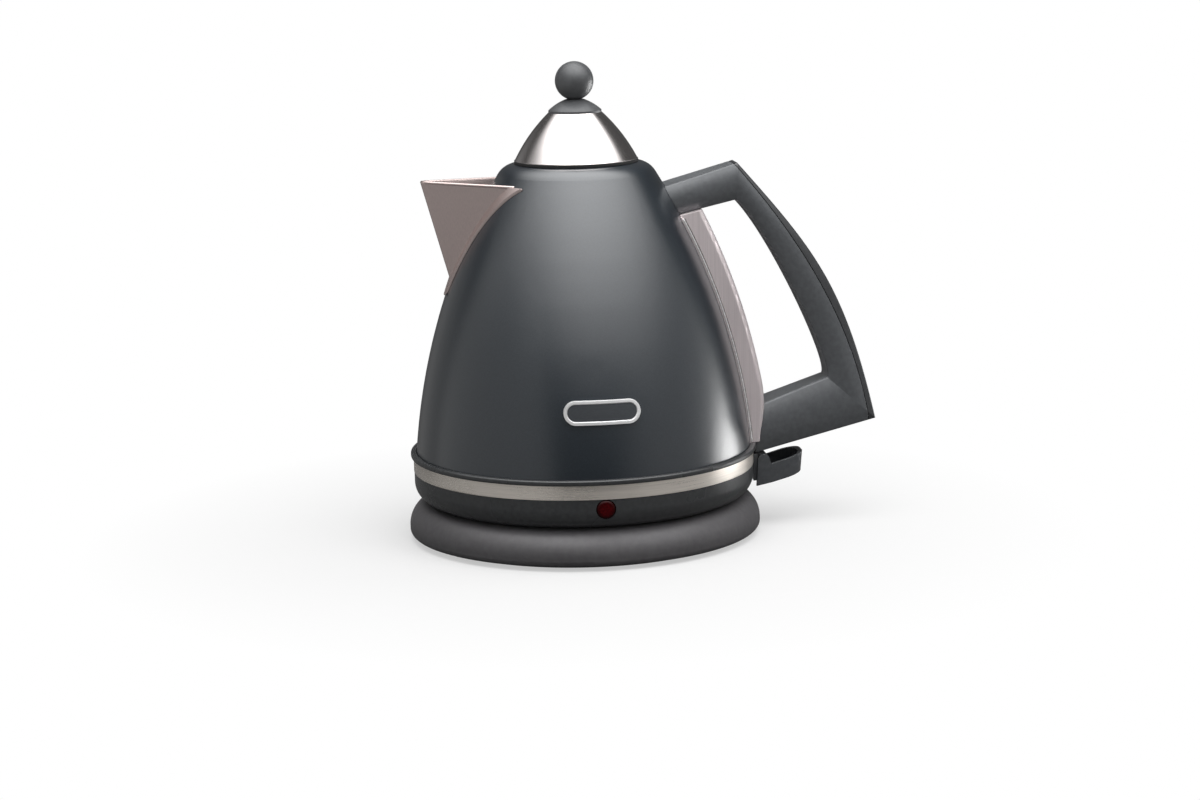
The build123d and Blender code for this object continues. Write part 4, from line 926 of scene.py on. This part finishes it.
@dataclass
class Underside(Assembly):
    """Heated floor, control and bottom cover."""

    finishes: dict[str, Finish] = field(
        default_factory=lambda: {
            "element_plate": INNER_STEEL,
            "element_seal": PALE_SILICONE,
            "diffuser_plate": CAST_ALUMINIUM,
            "heating_element": INNER_STEEL,
            "control_body": CONTROL_BLACK,
            "earth_pin": BRASS,
            "live_ring": BRASS,
            "neutral_ring": BRASS,
            "bimetal_discs": BRASS,
            "control_screws": SCREW_STEEL,
            "bottom_cover": SKIRT_GREY,
            "bottom_screws": SCREW_STEEL,
            "rocker_pin": SCREW_STEEL,
            "trip_rocker": CONTROL_BLACK,
        }
    )


@dataclass
class Handle(Assembly):
    """Mitred handle with the strip along its grip, and the switch under it."""

    finishes: dict[str, Finish] = field(
        default_factory=lambda: {
            "handle_frame": HANDLE_GREY,
            "handle_cover": STRIP_GREY,
            "handle_screws": SCREW_STEEL,
            "switch_housing": SWITCH_GREY,
            "switch_pin": SCREW_STEEL,
            "switch_lever": SWITCH_GREY,
        }
    )


@dataclass
class Lid(Assembly):
    """Polished cone with its collar, ball knob, plug and seal."""

    finishes: dict[str, Finish] = field(
        default_factory=lambda: {
            "lid_cone": LID_CHROME,
            "lid_collar": KNOB_GREY,
            "lid_knob": KNOB_GREY,
            "lid_plug": PLUG_GREY,
            "lid_seal": BLACK_RUBBER,
            "lid_screw": SCREW_STEEL,
        }
    )


@dataclass
class Filter(Assembly):
    """Basket behind the spout."""

    finishes: dict[str, Finish] = field(
        default_factory=lambda: {"filter_frame": FILTER_GREY, "filter_mesh": MESH_STEEL}
    )


@dataclass(frozen=True)
class Lamp:
    """Soft area lamp that points at the kettle."""

    name: str
    place: tuple[float, float, float]
    width: float
    height: float
    watts: float

    def build(self, target: Vector) -> None:
        """Puts the lamp in the scene.

        Args:
            target: Point that it faces.
        """
        data = bpy.data.lights.new(self.name, "AREA")
        data.shape = "RECTANGLE"
        data.size, data.size_y, data.energy = self.width, self.height, self.watts
        lamp = bpy.data.objects.new(self.name, data)
        lamp.location = self.place
        lamp.rotation_mode = "QUATERNION"
        lamp.rotation_quaternion = (target - Vector(self.place)).to_track_quat("-Z", "Y")
        lamp.visible_glossy = False
        bpy.context.scene.collection.objects.link(lamp)
        log.info("lamp %s", self.name)


@dataclass(frozen=True)
class Glow:
    """Soft bright patch of the studio walls, as shiny surfaces see it."""

    aim: tuple[float, float, float]
    level: float
    start: float
    full: float

    def wire(self, wiring: Wiring, direction: Value) -> bpy.types.NodeSocket:
        """Adds the patch to the world.

        Args:
            wiring: Wiring of the world's tree.
            direction: Unit vector that a ray leaves along.

        Returns:
            Brightness of the patch along that ray.
        """
        middle = tuple(Vector(self.aim).normalized())
        near = wiring.vector("DOT_PRODUCT", direction, middle)
        inputs = {0: near, 1: self.start, 2: self.full, 3: 0.0, 4: self.level}
        return wiring.add("MapRange", inputs, interpolation_type="SMOOTHSTEP").outputs[0]


@dataclass
class Studio:
    """White table and backdrop, soft lamps and the camera."""

    target: tuple[float, float, float] = (0.0, 0.0, 0.12)
    lamps: tuple[Lamp, ...] = (
        Lamp("top_softbox", (0.05, -0.4, 1.25), 1.3, 1.0, 13.0),
        Lamp("right_card", (0.9, 0.1, 0.35), 0.5, 0.5, 1.5),
    )
    glows: tuple[Glow, ...] = (
        Glow((0.07, -0.2, 0.98), 5.45, 0.37, 1.12),  # broad softbox overhead
        Glow((0.58, 0.62, 0.53), -1.9, 0.78, 0.98),  # dark flag behind on the right
        Glow((-0.95, -0.25, -0.2), 0.38, 0.6, 0.72),  # wall on the left
        Glow((-0.6, 0.78, -0.05), 0.12, 0.88, 0.98),  # faint edge light behind on the left
        Glow((0.95, -0.25, -0.1), 0.4, 0.4, 0.9),  # wall on the right
        Glow((0.9, 0.3, -0.4), 7.0, 0.917, 0.955),  # low bright card on the right
        Glow((-0.7, 0.1, 0.7), 0.3, 0.86, 0.97),  # upper wall on the left
        Glow((0.86, 0.48, 0.12), 0.1, 0.86, 0.97),  # faint edge light behind on the right
    )
    dark: float = 0.08
    fill: float = 0.32
    floor_reach: float = 0.28
    floor_sides: int = 96
    floor_seen: Colour = (0.9, 0.9, 0.9)
    floor_bounce: Colour = (0.2, 0.2, 0.2)
    floor_fade: tuple[float, float] = (0.09, 0.252)
    floor_white: tuple[float, float] = (0.5, 1.0)
    sensor: float = 36.0
    image_width: float = 1200.0
    image_height: float = 800.0
    focal_pixels: float = 2829.0
    turn: float = -7.2
    pitch: float = 10.62
    roll: float = 1.38
    distance: float = 1.4168
    foot_column: float = 582.3
    foot_row: float = 492.4

    def build(self) -> None:
        """Makes the floor, the world, the lamps and the camera."""
        self._floor()
        self._world()
        for lamp in self.lamps:
            lamp.build(Vector(self.target))
        self._camera()
        bpy.context.scene.view_settings.view_transform = "Standard"

    def _floor(self) -> None:
        """Lays a wide pale floor that still takes the object's shadow."""
        mesh = bpy.data.meshes.new("floor")
        sheet = bmesh.new()
        bmesh.ops.create_circle(
            sheet, cap_ends=True, segments=self.floor_sides, radius=self.floor_reach
        )
        sheet.to_mesh(mesh)
        sheet.free()
        floor = bpy.data.objects.new("floor", mesh)
        bpy.context.scene.collection.objects.link(floor)
        paper = bpy.data.materials.new("floor_paper")
        paper.use_nodes = True
        paper.node_tree.nodes.clear()
        wiring = Wiring(paper.node_tree)
        path = wiring.add("LightPath").outputs
        shade = wiring.blend(path["Is Camera Ray"], self.floor_bounce, self.floor_seen)
        matt = wiring.add("BsdfDiffuse", {"Color": shade})
        white = wiring.add("Emission", {"Color": (1.0, 1.0, 1.0), "Strength": 1.0})
        reach = wiring.vector("LENGTH", wiring.place())
        fade = wiring.span(reach, *self.floor_fade, *self.floor_white)
        seen = wiring.sum("MULTIPLY", path["Is Camera Ray"], fade)
        mixed = wiring.add("MixShader", {0: seen, 1: matt.outputs[0], 2: white.outputs[0]})
        wiring.add("OutputMaterial", {"Surface": mixed.outputs[0]})
        mesh.materials.append(paper)
        log.info("floor")

    def _world(self) -> None:
        """Makes a white backdrop, with the soft patches of a studio for what shines."""
        world = bpy.data.worlds.new("studio")
        bpy.context.scene.world = world
        world.use_nodes = True
        world.node_tree.nodes.clear()
        wiring = Wiring(world.node_tree)
        path = wiring.add("LightPath").outputs
        direction = wiring.add("TexCoord").outputs["Generated"]
        walls = self.dark
        for glow in self.glows:
            walls = wiring.sum("ADD", walls, glow.wire(wiring, direction))
        walls = wiring.sum("MAXIMUM", walls, self.dark)
        level = wiring.mix(path["Is Glossy Ray"], self.fill, walls)
        clear = wiring.sum("MAXIMUM", path["Is Camera Ray"], path["Is Transmission Ray"])
        strength = wiring.mix(clear, level, 1.0)
        back = wiring.add("Background", {"Color": (1.0, 1.0, 1.0), "Strength": strength})
        wiring.add("OutputWorld", {"Surface": back.outputs[0]})

    def _camera(self) -> None:
        """Sets the camera so that the kettle stands in the frame as in the photograph."""
        turn, pitch, roll = (math.radians(angle) for angle in (self.turn, self.pitch, self.roll))
        level = math.cos(pitch)
        back = Vector((math.sin(turn) * level, -math.cos(turn) * level, math.sin(pitch)))
        right = Vector((math.cos(turn), math.sin(turn), 0.0))
        up = back.cross(right)
        scale = self.distance / self.focal_pixels
        across = (self.foot_column - self.image_width / 2) * scale
        below = (self.foot_row - self.image_height / 2) * scale
        foot = Vector((0.0, 0.0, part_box("lower_skirt")[0].z))
        place = foot + back * self.distance - right * across + up * below
        aim = Matrix((right, up, back)).transposed() @ Matrix.Rotation(-roll, 3, "Z")
        data = bpy.data.cameras.new("camera")
        data.sensor_width = self.sensor
        data.lens = self.focal_pixels * data.sensor_width / self.image_width
        camera = bpy.data.objects.new("camera", data)
        camera.matrix_world = Matrix.Translation(place) @ aim.to_4x4()
        bpy.context.scene.collection.objects.link(camera)
        bpy.context.scene.camera = camera


def main() -> None:
    """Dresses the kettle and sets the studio."""
    logging.basicConfig(level=logging.INFO, format="%(name)s: %(message)s")
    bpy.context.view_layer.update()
    for assembly in (PowerBase(), Vessel(), Underside(), Handle(), Lid(), Filter()):
        assembly.dress()
    Studio().build()


if __name__ == "__main__":
    main()
